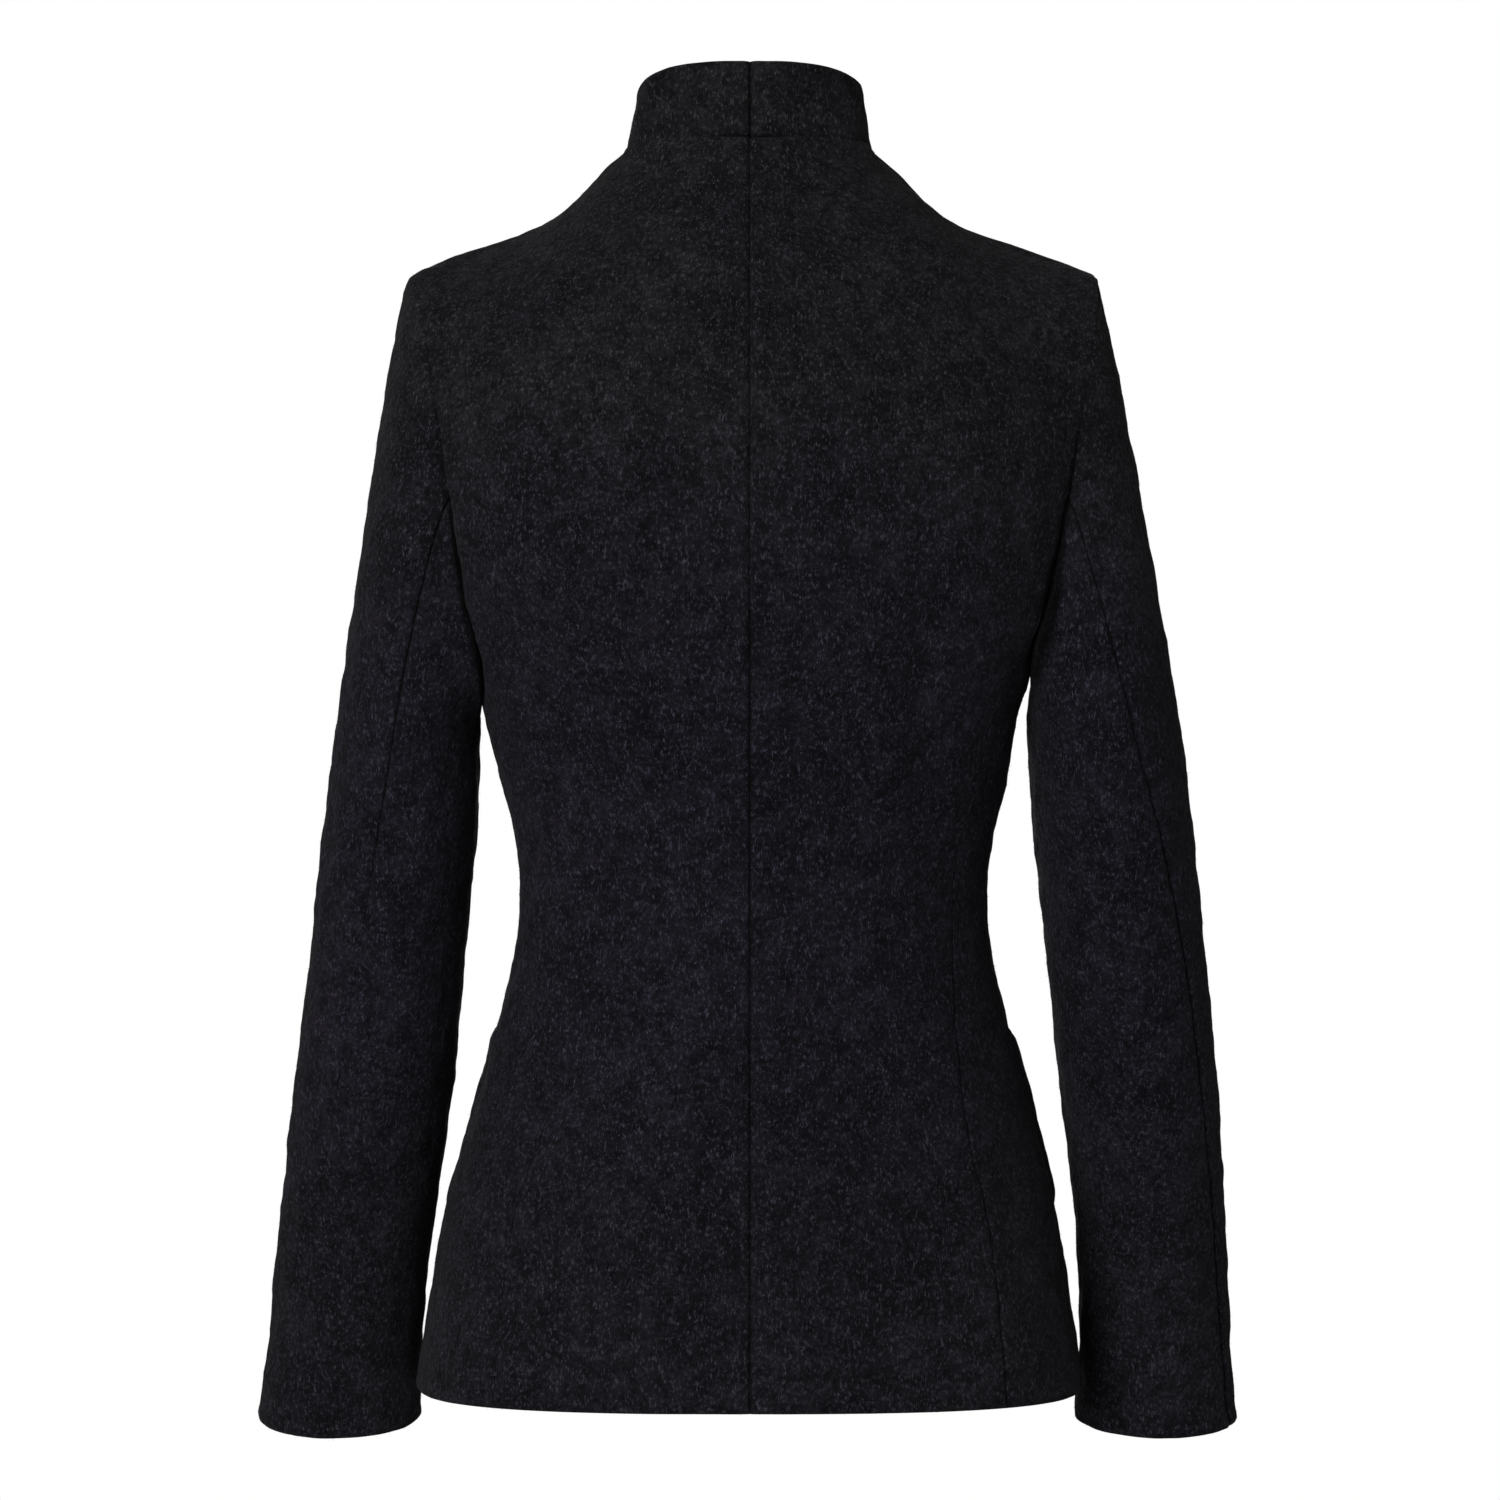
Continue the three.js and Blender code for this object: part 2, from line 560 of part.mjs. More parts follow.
function sleevePieces(side) {
  const surface = sleeveSurface(side);
  const topColumns = (SLEEVE_SEAM_AT_ARMHOLE - SLEEVE_FRONT_SEAM) / STEP_TURN;
  const underColumns = ARMHOLE_STEPS - topColumns;
  const onTop = (u, v) => surface(mix(SLEEVE_FRONT_SEAM, sleeveSeamTurn(side, v), u / topColumns), v);
  const under = (u, v) =>
    surface(mix(sleeveSeamTurn(side, v), SLEEVE_FRONT_SEAM + 360, u / underColumns), v);
  const seams = { start: SEAM_GAP / 2, end: SEAM_GAP / 2 };
  const flip = side.sign > 0;
  return [
    wall(`sleeve_top_${side.name}`, { columns: topColumns, rows: sleeveRows }, onTop, flip, seams),
    wall(`sleeve_under_${side.name}`, { columns: underColumns, rows: sleeveRows }, under, flip, seams),
  ];
}

// ---------------------------------------------------------------- collar, welts and buttons

/** The turn of a collar column, in step with the columns of the back and the front below it. */
function collarTurn(u) {
  const toSide = u / BACK.neckColumns;
  if (toSide <= 1) return (toSide * Math.PI) / 2;
  const pastSide = u - BACK.neckColumns;
  if (pastSide <= FRONT.neckColumns) {
    return mix(Math.PI / 2, neckTurnAt(LAP), pastSide / FRONT.neckColumns);
  }
  const ontoLap = (pastSide - FRONT.neckColumns) / (FRONT.lapColumns / 2);
  return neckTurnAt(LAP * (1 - ontoLap));
}

function collarPiece(side) {
  const columns = BACK.neckColumns + FRONT.neckColumns + FRONT.lapColumns / 2;
  const surface = (u, v) => {
    const turn = collarTurn(u);
    return neckPoint(side, turn).lerp(collarTopPoint(side, turn), v / COLLAR_ROWS);
  };
  const edges = { start: SEAM_GAP / 2, end: COLLAR_END_GAP / 2, foot: SEAM_GAP };
  return wall(`collar_${side.name}`, { columns, rows: COLLAR_ROWS }, surface, side.sign > 0, edges);
}

function weltPiece(side) {
  const { columns, rows } = WELT_GRID;
  const onTorso = (u, v) => {
    const z = mix(WELT.footZ, WELT.topZ, v / rows);
    const start = radians(mix(WELT.footTurn, WELT.topTurn, v / rows));
    const turn = start + ((u / columns) * WELT.width) / torsoFront(z);
    return torsoPoint(side, turn, z);
  };
  const flip = side.sign > 0;
  const surface = (u, v) =>
    onTorso(u, v).addScaledVector(outward(onTorso, columns, rows, u, v, flip), SEAM_GAP + WELT_CLOTH);
  return wall(`welt_${side.name}`, WELT_GRID, surface, flip, {}, WELT_CLOTH);
}

function buttonGeometry() {
  const disc = new THREE.Shape();
  disc.absarc(0, 0, BUTTON.radius - BUTTON.bevel, 0, 2 * Math.PI);
  for (let i = 0; i < 4; i += 1) {
    const angle = (i + 0.5) * (Math.PI / 2);
    const hole = new THREE.Path();
    const reach = BUTTON_HOLE.offset;
    hole.absarc(reach * Math.cos(angle), reach * Math.sin(angle), BUTTON_HOLE.radius, 0, 2 * Math.PI);
    disc.holes.push(hole);
  }
  const depth = BUTTON.thickness - 2 * BUTTON.bevel;
  return new THREE.ExtrudeGeometry(disc, {
    depth,
    bevelThickness: BUTTON.bevel,
    bevelSize: BUTTON.bevel,
    bevelSegments: 1,
    curveSegments: 4,
  }).translate(0, 0, BUTTON.bevel);
}

/** The buttons down the centre front, each flat on the right front's outer face. */
function buttons(side) {
  const surface = lappedSurface(side);
  const geometry = buttonGeometry();
  const { columns, rows } = frontGrid;
  const centre = FRONT.lapColumns / 2;
  return Array.from({ length: BUTTON.count }, (_, i) => {
    const z = BUTTON.topZ - i * BUTTON.pitch;
    let low = 0;
    let high = rows;
    while (high - low > 1e-6) {
      const middle = (low + high) / 2;
      if (surface(centre, middle).z < z) low = middle;
      else high = middle;
    }
    const out = outward(surface, columns, rows, centre, low, side.sign < 0);
    const seat = surface(centre, low);
    const rims = [-1, 1].map((end) => surface(centre, low + end * BUTTON_ROWS));
    const clear = Math.max(0, ...rims.map((rim) => rim.sub(seat).dot(out)));
    const button = new THREE.Mesh(geometry, HORN);
    button.name = `button_${i + 1}`;
    button.quaternion.setFromUnitVectors(vector(0, 0, 1), out);
    button.position.copy(seat.addScaledVector(out, BUTTON_GAP + clear));
    return button;
  });
}

// ---------------------------------------------------------------- the jacket

/** Panels that meet at a shoulder seam share the upright plane through it. */
function shoulderSettle(columns) {
  const neckColumn = columns - BACK.shoulderColumns;
  return (out, u, v) => {
    if (v === PANEL.lowerRows + PANEL.upperRows && u >= neckColumn) out.setY(0).normalize();
    return out;
  };
}

const group = new THREE.Group();
const half = SEAM_GAP / 2;
const backEdges = { start: half, end: half, head: half };
const sideEdges = { start: half, end: half };
const frontEdges = { end: half, head: half };
const backSettle = shoulderSettle(backGrid.columns);
const frontSettle = shoulderSettle(frontGrid.columns);
for (const side of SIDES) {
  const isLeft = side.sign > 0;
  const front = isLeft ? frontSurface(side) : lappedSurface(side);
  group.add(
    wall(`back_${side.name}`, backGrid, backSurface(side), isLeft, backEdges, CLOTH, backSettle),
    wall(`side_${side.name}`, sideGrid, sideSurface(side), isLeft, sideEdges, CLOTH, sideSettle(side)),
    wall(`front_${side.name}`, frontGrid, front, !isLeft, frontEdges, CLOTH, frontSettle),
    ...sleevePieces(side),
    collarPiece(side),
    weltPiece(side),
  );
}
group.add(...buttons(SIDES[1]));

export default group;
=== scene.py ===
"""A fitted jacket of thick felted wool, filled out as if it were worn, with nobody in it.

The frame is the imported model's: metres, +Z up, the front faces -Y and the wearer's left is +X. The cut's
tables and sizes are in millimetres, as a pattern cutter writes them, and every mesh is in metres.
"""

import logging
import math
from contextlib import contextmanager
from dataclasses import dataclass, field
from enum import Enum
from typing import Callable, ClassVar, Iterator, NamedTuple

import bpy
import numpy as np
from mathutils import Matrix, Vector


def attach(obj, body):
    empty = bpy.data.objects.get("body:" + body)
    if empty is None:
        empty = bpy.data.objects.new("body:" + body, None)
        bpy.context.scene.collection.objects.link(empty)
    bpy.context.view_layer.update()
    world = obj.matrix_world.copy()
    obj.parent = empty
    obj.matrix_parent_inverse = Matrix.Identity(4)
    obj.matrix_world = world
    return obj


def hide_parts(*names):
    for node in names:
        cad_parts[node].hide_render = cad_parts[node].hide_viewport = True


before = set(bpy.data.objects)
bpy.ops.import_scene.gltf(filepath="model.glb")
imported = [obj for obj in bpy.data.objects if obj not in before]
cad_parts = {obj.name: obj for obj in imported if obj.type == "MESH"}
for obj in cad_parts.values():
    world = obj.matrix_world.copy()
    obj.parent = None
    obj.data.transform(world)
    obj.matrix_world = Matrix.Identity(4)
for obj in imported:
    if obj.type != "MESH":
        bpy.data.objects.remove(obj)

Array = np.ndarray
Surface = Callable[[Array, Array], Array]
Point = tuple[float, float, float]
Colour = tuple[float, float, float, float]
Socket = bpy.types.NodeSocket

LOG = logging.getLogger("jacket")
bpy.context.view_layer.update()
MM = 0.001
TINY = 1e-3  # a step along a grid, for slopes
SEED = 11
SEAM_SHADE_ATTRIBUTE = "seam"  # the shade painted on a point of the cloth: along seams and armholes, and over pieces that lie in shade
DEEPEST_SEAM_SHADE = 1.6  # the deepest painted shade that the attribute holds

# ---------------------------------------------------------------- the cut, in millimetres

HEM_Z = -667.0
JOINT_Z = -248.0  # where the torso's rings end and the panels turn in to the shoulders
SLEEVE_HEAD_Z = -315.0  # where a sleeve's head ends and its rings begin
CUFF_Z = -691.0
CUFF_TILT = 7.0  # how far the back of a cuff hangs below its middle
CLOTH = 2.4  # the cloth's thickness
LAP = 18.0  # how far a front runs past the centre front
LAP_LIFT = 2.7  # how far the right front stands off where it lies on the left one
ARMHOLE_LAP = 0.8  # how far a sleeve runs in under the armhole's edge
ARMHOLE_MIDDLE = (-3.0, -183.0)  # y and z of the middle of an armhole
ARMHOLE_HALF = (60.0, 116.0)  # half its depth and half its height
ARMHOLE_BAND = 0.2  # share of a panel's columns that leans with the armhole
ARRIVAL_PULL = 0.95  # how long a panel keeps to its way of arrival, over its rise
HEAD_REACH = 0.6  # how long a sleeve keeps to its way of leaving, over its head
HEAD_SPREAD = 0.15  # how far that way opens to back and front
UNDERARM_OUT = 0.36  # how far it goes out under the arm
SLEEVE_FRONT_TURN = -105.0  # where the front seam lies, in degrees

# Grid columns and rows of the solids, which the surfaces are numbered by.
LOWER_ROWS = 14
UPPER_ROWS = 8
ROWS = LOWER_ROWS + UPPER_ROWS
NECK_COLUMNS = 6
SHOULDER_COLUMNS = 6
LAP_COLUMNS = 4
FRONT_NECK_COLUMNS = 5
SIDE_COLUMNS = 8
COLLAR_ROWS = 3
ARMHOLE_STEPS = 24
HEAD_ROWS = 8
ARM_ROWS = 12
HEAD_CROWDING = 1.4  # how much closer the rows of a sleeve's head lie towards the armhole


class TorsoRing(NamedTuple):
    """A level ring of the torso: half widths, depths, squareness and the side panel's seams.

    A seam lies at this share of the half width.
    """

    z: float
    left: float
    right: float
    back: float
    front: float
    square: float
    back_seam: float
    front_seam: float


TORSO = (
    TorsoRing(-667, 179, 179, 118, 121, 2.7, 0.75, 0.98),
    TorsoRing(-617, 172, 172, 114, 120, 2.5, 0.757, 0.98),
    TorsoRing(-573, 164.5, 165, 109, 119, 2.4, 0.756, 0.98),
    TorsoRing(-530, 152, 154.5, 102, 117, 2.3, 0.745, 0.978),
    TorsoRing(-487, 140, 143, 95, 114, 2.2, 0.77, 0.975),
    TorsoRing(-444, 129, 132.5, 88, 112, 2.2, 0.815, 0.972),
    TorsoRing(-411, 124.5, 128, 85, 112, 2.2, 0.845, 0.97),
    TorsoRing(-379, 125.5, 130, 86, 115, 2.25, 0.857, 0.972),
    TorsoRing(-336, 135.5, 139.5, 92, 127, 2.3, 0.872, 0.975),
    TorsoRing(-303, 144, 145, 97, 137, 2.4, 0.905, 0.975),
    TorsoRing(-275, 152, 156, 101, 141, 2.6, 0.925, 0.972),
    TorsoRing(-248, 161, 168, 104, 140, 2.8, 0.935, 0.97),
)


class SleeveRing(NamedTuple):
    """A level ring of both sleeves: centre, half width and back seam of each, in degrees, then depth."""

    z: float
    left_x: float
    left_half: float
    left_seam: float
    right_x: float
    right_half: float
    right_seam: float
    y: float
    depth: float


SLEEVE = (
    SleeveRing(-700, 226, 45, 57, 223.5, 45, 28, -46, 41),
    SleeveRing(-680, 225, 44, 58, 222.5, 43.5, 29, -44, 41),
    SleeveRing(-650, 222, 42, 59, 222, 41.5, 31, -41, 42),
    SleeveRing(-606, 218, 42, 61, 220.5, 41, 36, -35, 43),
    SleeveRing(-563, 212, 42.5, 64, 217, 41.5, 38, -28, 45),
    SleeveRing(-498, 203.5, 43, 69, 210.5, 43, 43, -18, 48),
    SleeveRing(-433, 196, 42, 74, 203.5, 43, 48, -10, 52),
    SleeveRing(-368, 189, 41.5, 79, 196, 43, 59, -4, 56),
    SleeveRing(-315, 184.5, 39, 85, 191, 41.5, 73, 0, 59),
    SleeveRing(-255, 178, 36, 89, 183, 38, 85, 0, 60),
    SleeveRing(-195, 172, 34, 90, 176, 36, 90, 0, 60),
)


class CollarLine(NamedTuple):
    """Heights of the neck seam and the collar's top at a turn from the centre back, in degrees."""

    turn: float
    seam_z: float
    top_z: float


COLLAR = (
    CollarLine(0, 0, 40),
    CollarLine(45, 0, 36.5),
    CollarLine(90, -2, 27),
    CollarLine(120, -16, 9),
    CollarLine(150, -48, -16),
    CollarLine(180, -68, -33),
)


class ShoulderPoint(NamedTuple):
    """A point of the shoulder seam, from the neck at share 0 to the sleeve at share 1."""

    share: float
    x: float
    y: float
    z: float


SHOULDER = (
    ShoulderPoint(0, 66, 4, -2),
    ShoulderPoint(0.12, 78, 3, -12),
    ShoulderPoint(0.3, 100, 1, -34),
    ShoulderPoint(0.5, 123, -1, -46),
    ShoulderPoint(0.72, 149, -3, -54.5),
    ShoulderPoint(1, 183, -5, -67),
)


class Arrival(NamedTuple):
    """The way cloth arrives at a panel's top edge, from the centre line at 0 to the shoulder tip at 2."""

    place: float
    inward: float
    over: float
    up: float


ARRIVAL = (
    Arrival(0, 0, 0.45, 0.9),
    Arrival(0.7, 0.25, 0.55, 0.8),
    Arrival(1, 0.36, 0.74, 0.52),
    Arrival(1.4, 0.2, 0.88, 0.34),
    Arrival(2, 0, 1, 0),
)


class NeckRing(NamedTuple):
    """A ring of the neck: half width, depths behind and before its centre, and squareness."""

    half: float
    back: float
    front: float
    square: float


NECK = NeckRing(66, 48, 76, 2.3)
COLLAR_TOP = NeckRing(60, 46, 68, 2.9)
NECK_CENTRE_Y = 4.0


class SleeveHead(NamedTuple):
    """How a sleeve leaves the shoulder tip: how far it runs on, and how much outward and down."""

    fullness: float
    out: float
    down: float


class Lean(NamedTuple):
    """The sideways lean of an armhole's edge at the side seam and at the shoulder tip."""

    foot: float
    tip: float


# ---------------------------------------------------------------- mathematics


def cubic(start: Array, leaving: Array, end: Array, arriving: Array, t: Array) -> Array:
    """The cubic between two values, with the slope at each end given for the whole step."""
    keep = 1 + t * t * (2 * t - 3)
    return start * keep + leaving * t * (1 - t) ** 2 + end * (1 - keep) + arriving * t * t * (t - 1)


def mix(low: Array, high: Array, share: Array) -> Array:
    """The value at a share of the way from low to high."""
    return low + (high - low) * share


def unit(vectors: Array) -> Array:
    """The vectors at length 1."""
    return vectors / np.maximum(np.linalg.norm(vectors, axis=-1, keepdims=True), 1e-12)


def points(x: Array, y: Array, z: Array) -> Array:
    """Points from their coordinates, which may be numbers or arrays."""
    return np.stack(np.broadcast_arrays(x, y, z), axis=-1).astype(float)


def floats(u: Array, v: Array) -> tuple[Array, ...]:
    """Places as arrays of one shape, from numbers or arrays."""
    return np.broadcast_arrays(np.asarray(u, float), np.asarray(v, float))


def smooth_step(low: float, high: float, value: Array) -> Array:
    """0 below low, 1 above high and a smooth rise between."""
    t = np.clip((value - low) / (high - low), 0, 1)
    return t * t * (3 - 2 * t)


def bump(value: Array, centre: float, width: float) -> Array:
    """A smooth hump of height 1 at the centre."""
    return np.exp(-(((value - centre) / width) ** 2))


def step_lengths(grid: Array, axis: int) -> Array:
    """The distances between neighbours along one axis of a grid of points."""
    return np.linalg.norm(np.diff(grid, axis=axis), axis=-1)


def distances(grid: Array, axis: int) -> Array:
    """The distance of every point of a grid from the first one along an axis."""
    lengths = np.cumsum(step_lengths(grid, axis), axis=axis)
    return np.concatenate((np.zeros_like(np.take(lengths, [0], axis=axis)), lengths), axis=axis)


@dataclass(frozen=True)
class TableCurve:
    """A smooth curve through a column of a table, whose keys rise from row to row."""

    keys: Array
    values: Array

    @staticmethod
    def of(rows: tuple, key: str, column: str) -> "TableCurve":
        """The curve through one column of a table's rows.

        Args:
            rows: named tuples.
            key: the column that rises from row to row.
            column: the column of the values.

        Returns:
            The curve, which is called with an array of keys.
        """
        keys = np.array([getattr(row, key) for row in rows], float)
        return TableCurve(keys, np.array([getattr(row, column) for row in rows], float))

    def mirrored(self) -> "TableCurve":
        """The curve with one more row past each end, the mirror of the row inside it."""
        before, after = 2 * self.keys[0] - self.keys[1], 2 * self.keys[-1] - self.keys[-2]
        keys = np.concatenate(([before], self.keys, [after]))
        return TableCurve(keys, np.concatenate((self.values[1:2], self.values, self.values[-2:-1])))

    def __call__(self, place: Array) -> Array:
        """The values at these keys."""
        last = len(self.keys) - 1
        before = np.maximum(np.arange(last + 1) - 1, 0)
        after = np.minimum(np.arange(last + 1) + 1, last)
        slope = (self.values[after] - self.values[before]) / (self.keys[after] - self.keys[before])
        i = np.searchsorted(self.keys[1:-1], place, side="left")
        step = self.keys[i + 1] - self.keys[i]
        t = (place - self.keys[i]) / step
        return cubic(self.values[i], slope[i] * step, self.values[i + 1], slope[i + 1] * step, t)


def ring_point(half: Array, back: Array, front: Array, square: Array, turn: Array) -> tuple[Array, Array]:
    """X and Y on a superellipse. The turn is 0 at the back, a quarter at the side and half at the front."""
    power = 2 / square
    across, along = np.sin(turn), np.cos(turn)
    x = half * np.sign(across) * np.abs(across) ** power
    y = np.where(along >= 0, back, -front) * np.abs(along) ** power
    return x, y


def turn_at_share(share: Array, square: Array) -> Array:
    """The turn at which a superellipse is at this share of its half width, in its back half."""
    return np.sign(share) * np.arcsin(np.minimum(np.abs(share), 1) ** (square / 2))


# ---------------------------------------------------------------- the surfaces of the pieces


class Show(NamedTuple):
    """How much a sewn edge shows, in its groove and its painted shade, or how wide its painted shade is:
    below one height, above another and between.
    """

    below: float = 1.0
    above: float = 1.0
    low_z: float = -1000.0
    high_z: float = -999.0

    @staticmethod
    def evenly(share: float) -> "Show":
        """The same all along the edge."""
        return Show(share, share)

    def at(self, z: Array) -> Array:
        """The share at a height."""
        return mix(self.below, self.above, smooth_step(self.low_z, self.high_z, z))

    def times(self, factor: float) -> "Show":
        """The same, made stronger by a factor."""
        return self._replace(below=self.below * factor, above=self.above * factor)


@dataclass(frozen=True)
class Side:
    """One side of the wearer, with what differs between the two."""

    name: str
    sign: int  # of x on this side
    underarm_z: float
    back_lean: Lean
    front_lean: Lean
    tip_out: float  # how much further out the shoulder tip is than the table says
    head: SleeveHead
    armhole: Show
    armhole_shade: Show  # how wide the shade painted along it is, in millimetres
    side_seam: Show
    sleeve_seam: Show
    welt_share: float  # how far the welt stands out, over its own thickness
    side_depth: float  # how much shade is painted over the side panel

    def torso_half(self, z: Array) -> Array:
        """The torso's half width on this side at a height."""
        return TableCurve.of(TORSO, "z", self.name)(z)

    def sleeve(self, column: str, z: Array) -> Array:
        """One of the sleeve table's columns for this arm at a height."""
        return TableCurve.of(SLEEVE, "z", f"{self.name}_{column}")(z)


LEFT = Side(
    "left", 1, -299, Lean(0.16, 0.15), Lean(-0.12, 0.35), 0, SleeveHead(26, 1, -0.1),
    armhole=Show(1.5, 0.4, -214, -182), armhole_shade=Show(4.5, 1.9, -292, -222),
    side_seam=Show(0.3, 0.12, -520, -400), sleeve_seam=Show(0.4, 1.2, -440, -330),
    welt_share=0.5, side_depth=0.08,
)
RIGHT = Side(
    "right", -1, -284, Lean(0.2, -0.14), Lean(-0.12, 0.3), 1, SleeveHead(14, 1, -0.05),
    armhole=Show(2.2, 0.1, -262, -125), armhole_shade=Show(9.5, 2.6, -272, -195),
    side_seam=Show(0.8, 0.15, -490, -370), sleeve_seam=Show(0.9, 1.1, -520, -380),
    welt_share=1, side_depth=0.3,
)
SIDES = (LEFT, RIGHT)


class Torso:
    """The rings of the torso, which the back, side and front panels lie on."""

    back = TableCurve.of(TORSO, "z", "back")
    front = TableCurve.of(TORSO, "z", "front")
    square = TableCurve.of(TORSO, "z", "square")
    back_seam = TableCurve.of(TORSO, "z", "back_seam")
    front_seam = TableCurve.of(TORSO, "z", "front_seam")

    @classmethod
    def point(cls, side: Side, turn: Array, z: Array) -> Array:
        """The torso's point at a turn in radians and a height."""
        x, y = ring_point(side.torso_half(z), cls.back(z), cls.front(z), cls.square(z), turn)
        return points(side.sign * x, y, z)

    @classmethod
    def back_seam_turn(cls, z: Array) -> Array:
        """The turn of the seam between the back and the side panel."""
        return turn_at_share(cls.back_seam(z), cls.square(z))

    @classmethod
    def front_seam_turn(cls, z: Array) -> Array:
        """The turn of the seam between the side panel and the front."""
        return math.pi - turn_at_share(cls.front_seam(z), cls.square(z))

    @classmethod
    def front_turn_at(cls, side: Side, x: Array, z: Array) -> Array:
        """The turn at which the front is this far to the piece's own side of the centre front."""
        return math.pi - turn_at_share(x / side.torso_half(z), cls.square(z))


class Neck:
    """The neck seam, the collar's top and the shoulder seam."""

    seam_z = TableCurve.of(COLLAR, "turn", "seam_z").mirrored()
    top_z = TableCurve.of(COLLAR, "turn", "top_z").mirrored()
    shoulder = {axis: TableCurve.of(SHOULDER, "share", axis) for axis in "xyz"}

    @staticmethod
    def _ring(side: Side, ring: NeckRing, line: TableCurve, turn: Array) -> Array:
        """A point of one of the neck's lines at a turn in radians."""
        x, y = ring_point(ring.half, ring.back, ring.front, ring.square, turn)
        height = line(np.degrees(np.minimum(turn, 2 * math.pi - turn)))
        return points(side.sign * x, NECK_CENTRE_Y + y, height)

    @classmethod
    def seam(cls, side: Side, turn: Array) -> Array:
        """A point of the neck seam."""
        return cls._ring(side, NECK, cls.seam_z, turn)

    @classmethod
    def top(cls, side: Side, turn: Array) -> Array:
        """A point of the collar's top edge."""
        return cls._ring(side, COLLAR_TOP, cls.top_z, turn)

    @staticmethod
    def turn_at(x: Array) -> Array:
        """The turn at which the neck seam is this far to the piece's own side of the centre front."""
        return math.pi - turn_at_share(x / NECK.half, np.asarray(NECK.square))

    @classmethod
    def shoulder_point(cls, side: Side, share: Array) -> Array:
        """A point of the shoulder seam."""
        x = cls.shoulder["x"](share) + side.tip_out * share * share
        return points(side.sign * x, cls.shoulder["y"](share), cls.shoulder["z"](share))


@dataclass
class Sided:
    """A surface of one side of the wearer, which is called with columns and rows."""

    side: Side


class Panel(Sided):
    """A panel that lies on the torso's rings and then rises to the neck and shoulder line."""

    over = 1  # 1 for a front and -1 for a back
    columns = 1
    arrival = {name: TableCurve.of(ARRIVAL, "place", name) for name in ("inward", "over", "up")}

    def lean(self) -> Lean:
        """The lean of the armhole's edge on this panel."""
        raise NotImplementedError

    def lower(self, u: Array, z: Array) -> Array:
        """The panel's point on the torso for a column and a height."""
        raise NotImplementedError

    def top(self, u: Array) -> Array:
        """The panel's point on the neck and shoulder line for a column."""
        raise NotImplementedError

    def place(self, u: Array) -> Array:
        """Where that is, from 0 at the centre line to 2 at the shoulder tip."""
        raise NotImplementedError

    def __call__(self, u: Array, v: Array) -> Array:
        """The outer face.

        Args:
            u: columns, from the centre line to the side.
            v: rows, from the hem up.

        Returns:
            Points in millimetres.
        """
        u, v = floats(u, v)
        low = self.lower(u, mix(HEM_Z, JOINT_Z, np.minimum(v, LOWER_ROWS) / LOWER_ROWS))
        joint = np.full(u.shape, JOINT_Z)
        foot, head = self.lower(u, joint), self.top(u)
        length = np.linalg.norm(head - foot, axis=-1, keepdims=True)
        edge = np.maximum(0, (u / self.columns - 1) / ARMHOLE_BAND + 1)
        leaving = foot - self.lower(u, joint - 1)
        leaving[..., 0] = mix(leaving[..., 0], self.side.sign * self.lean().foot, edge)
        inward, over, up = (curve(self.place(u)) for curve in self.arrival.values())
        arriving = unit(points(-self.side.sign * inward, self.over * over, up))
        arriving[..., 0] += self.side.sign * self.lean().tip * edge
        t = np.maximum(0, v - LOWER_ROWS)[..., None] / UPPER_ROWS
        high = cubic(foot, leaving * length, head, arriving * length * ARRIVAL_PULL, t)
        return np.where((v <= LOWER_ROWS)[..., None], low, high)


class Back(Panel):
    """A back panel, from the centre back seam to the side seam and the armhole."""

    over = -1
    columns = NECK_COLUMNS + SHOULDER_COLUMNS

    def lean(self) -> Lean:
        """The lean of the armhole's back edge."""
        return self.side.back_lean

    def lower(self, u: Array, z: Array) -> Array:
        """The back on the torso's rings."""
        return Torso.point(self.side, (u / self.columns) * Torso.back_seam_turn(z), z)

    def top(self, u: Array) -> Array:
        """The neck seam as far as the side of the neck, then the shoulder seam."""
        neck = Neck.seam(self.side, np.minimum(u / NECK_COLUMNS, 1) * math.pi / 2)
        shoulder = Neck.shoulder_point(self.side, np.maximum(u - NECK_COLUMNS, 0) / SHOULDER_COLUMNS)
        return np.where((u <= NECK_COLUMNS)[..., None], neck, shoulder)

    def place(self, u: Array) -> Array:
        """The place along the neck and shoulder line."""
        return np.where(u <= NECK_COLUMNS, u / NECK_COLUMNS, 1 + (u - NECK_COLUMNS) / SHOULDER_COLUMNS)


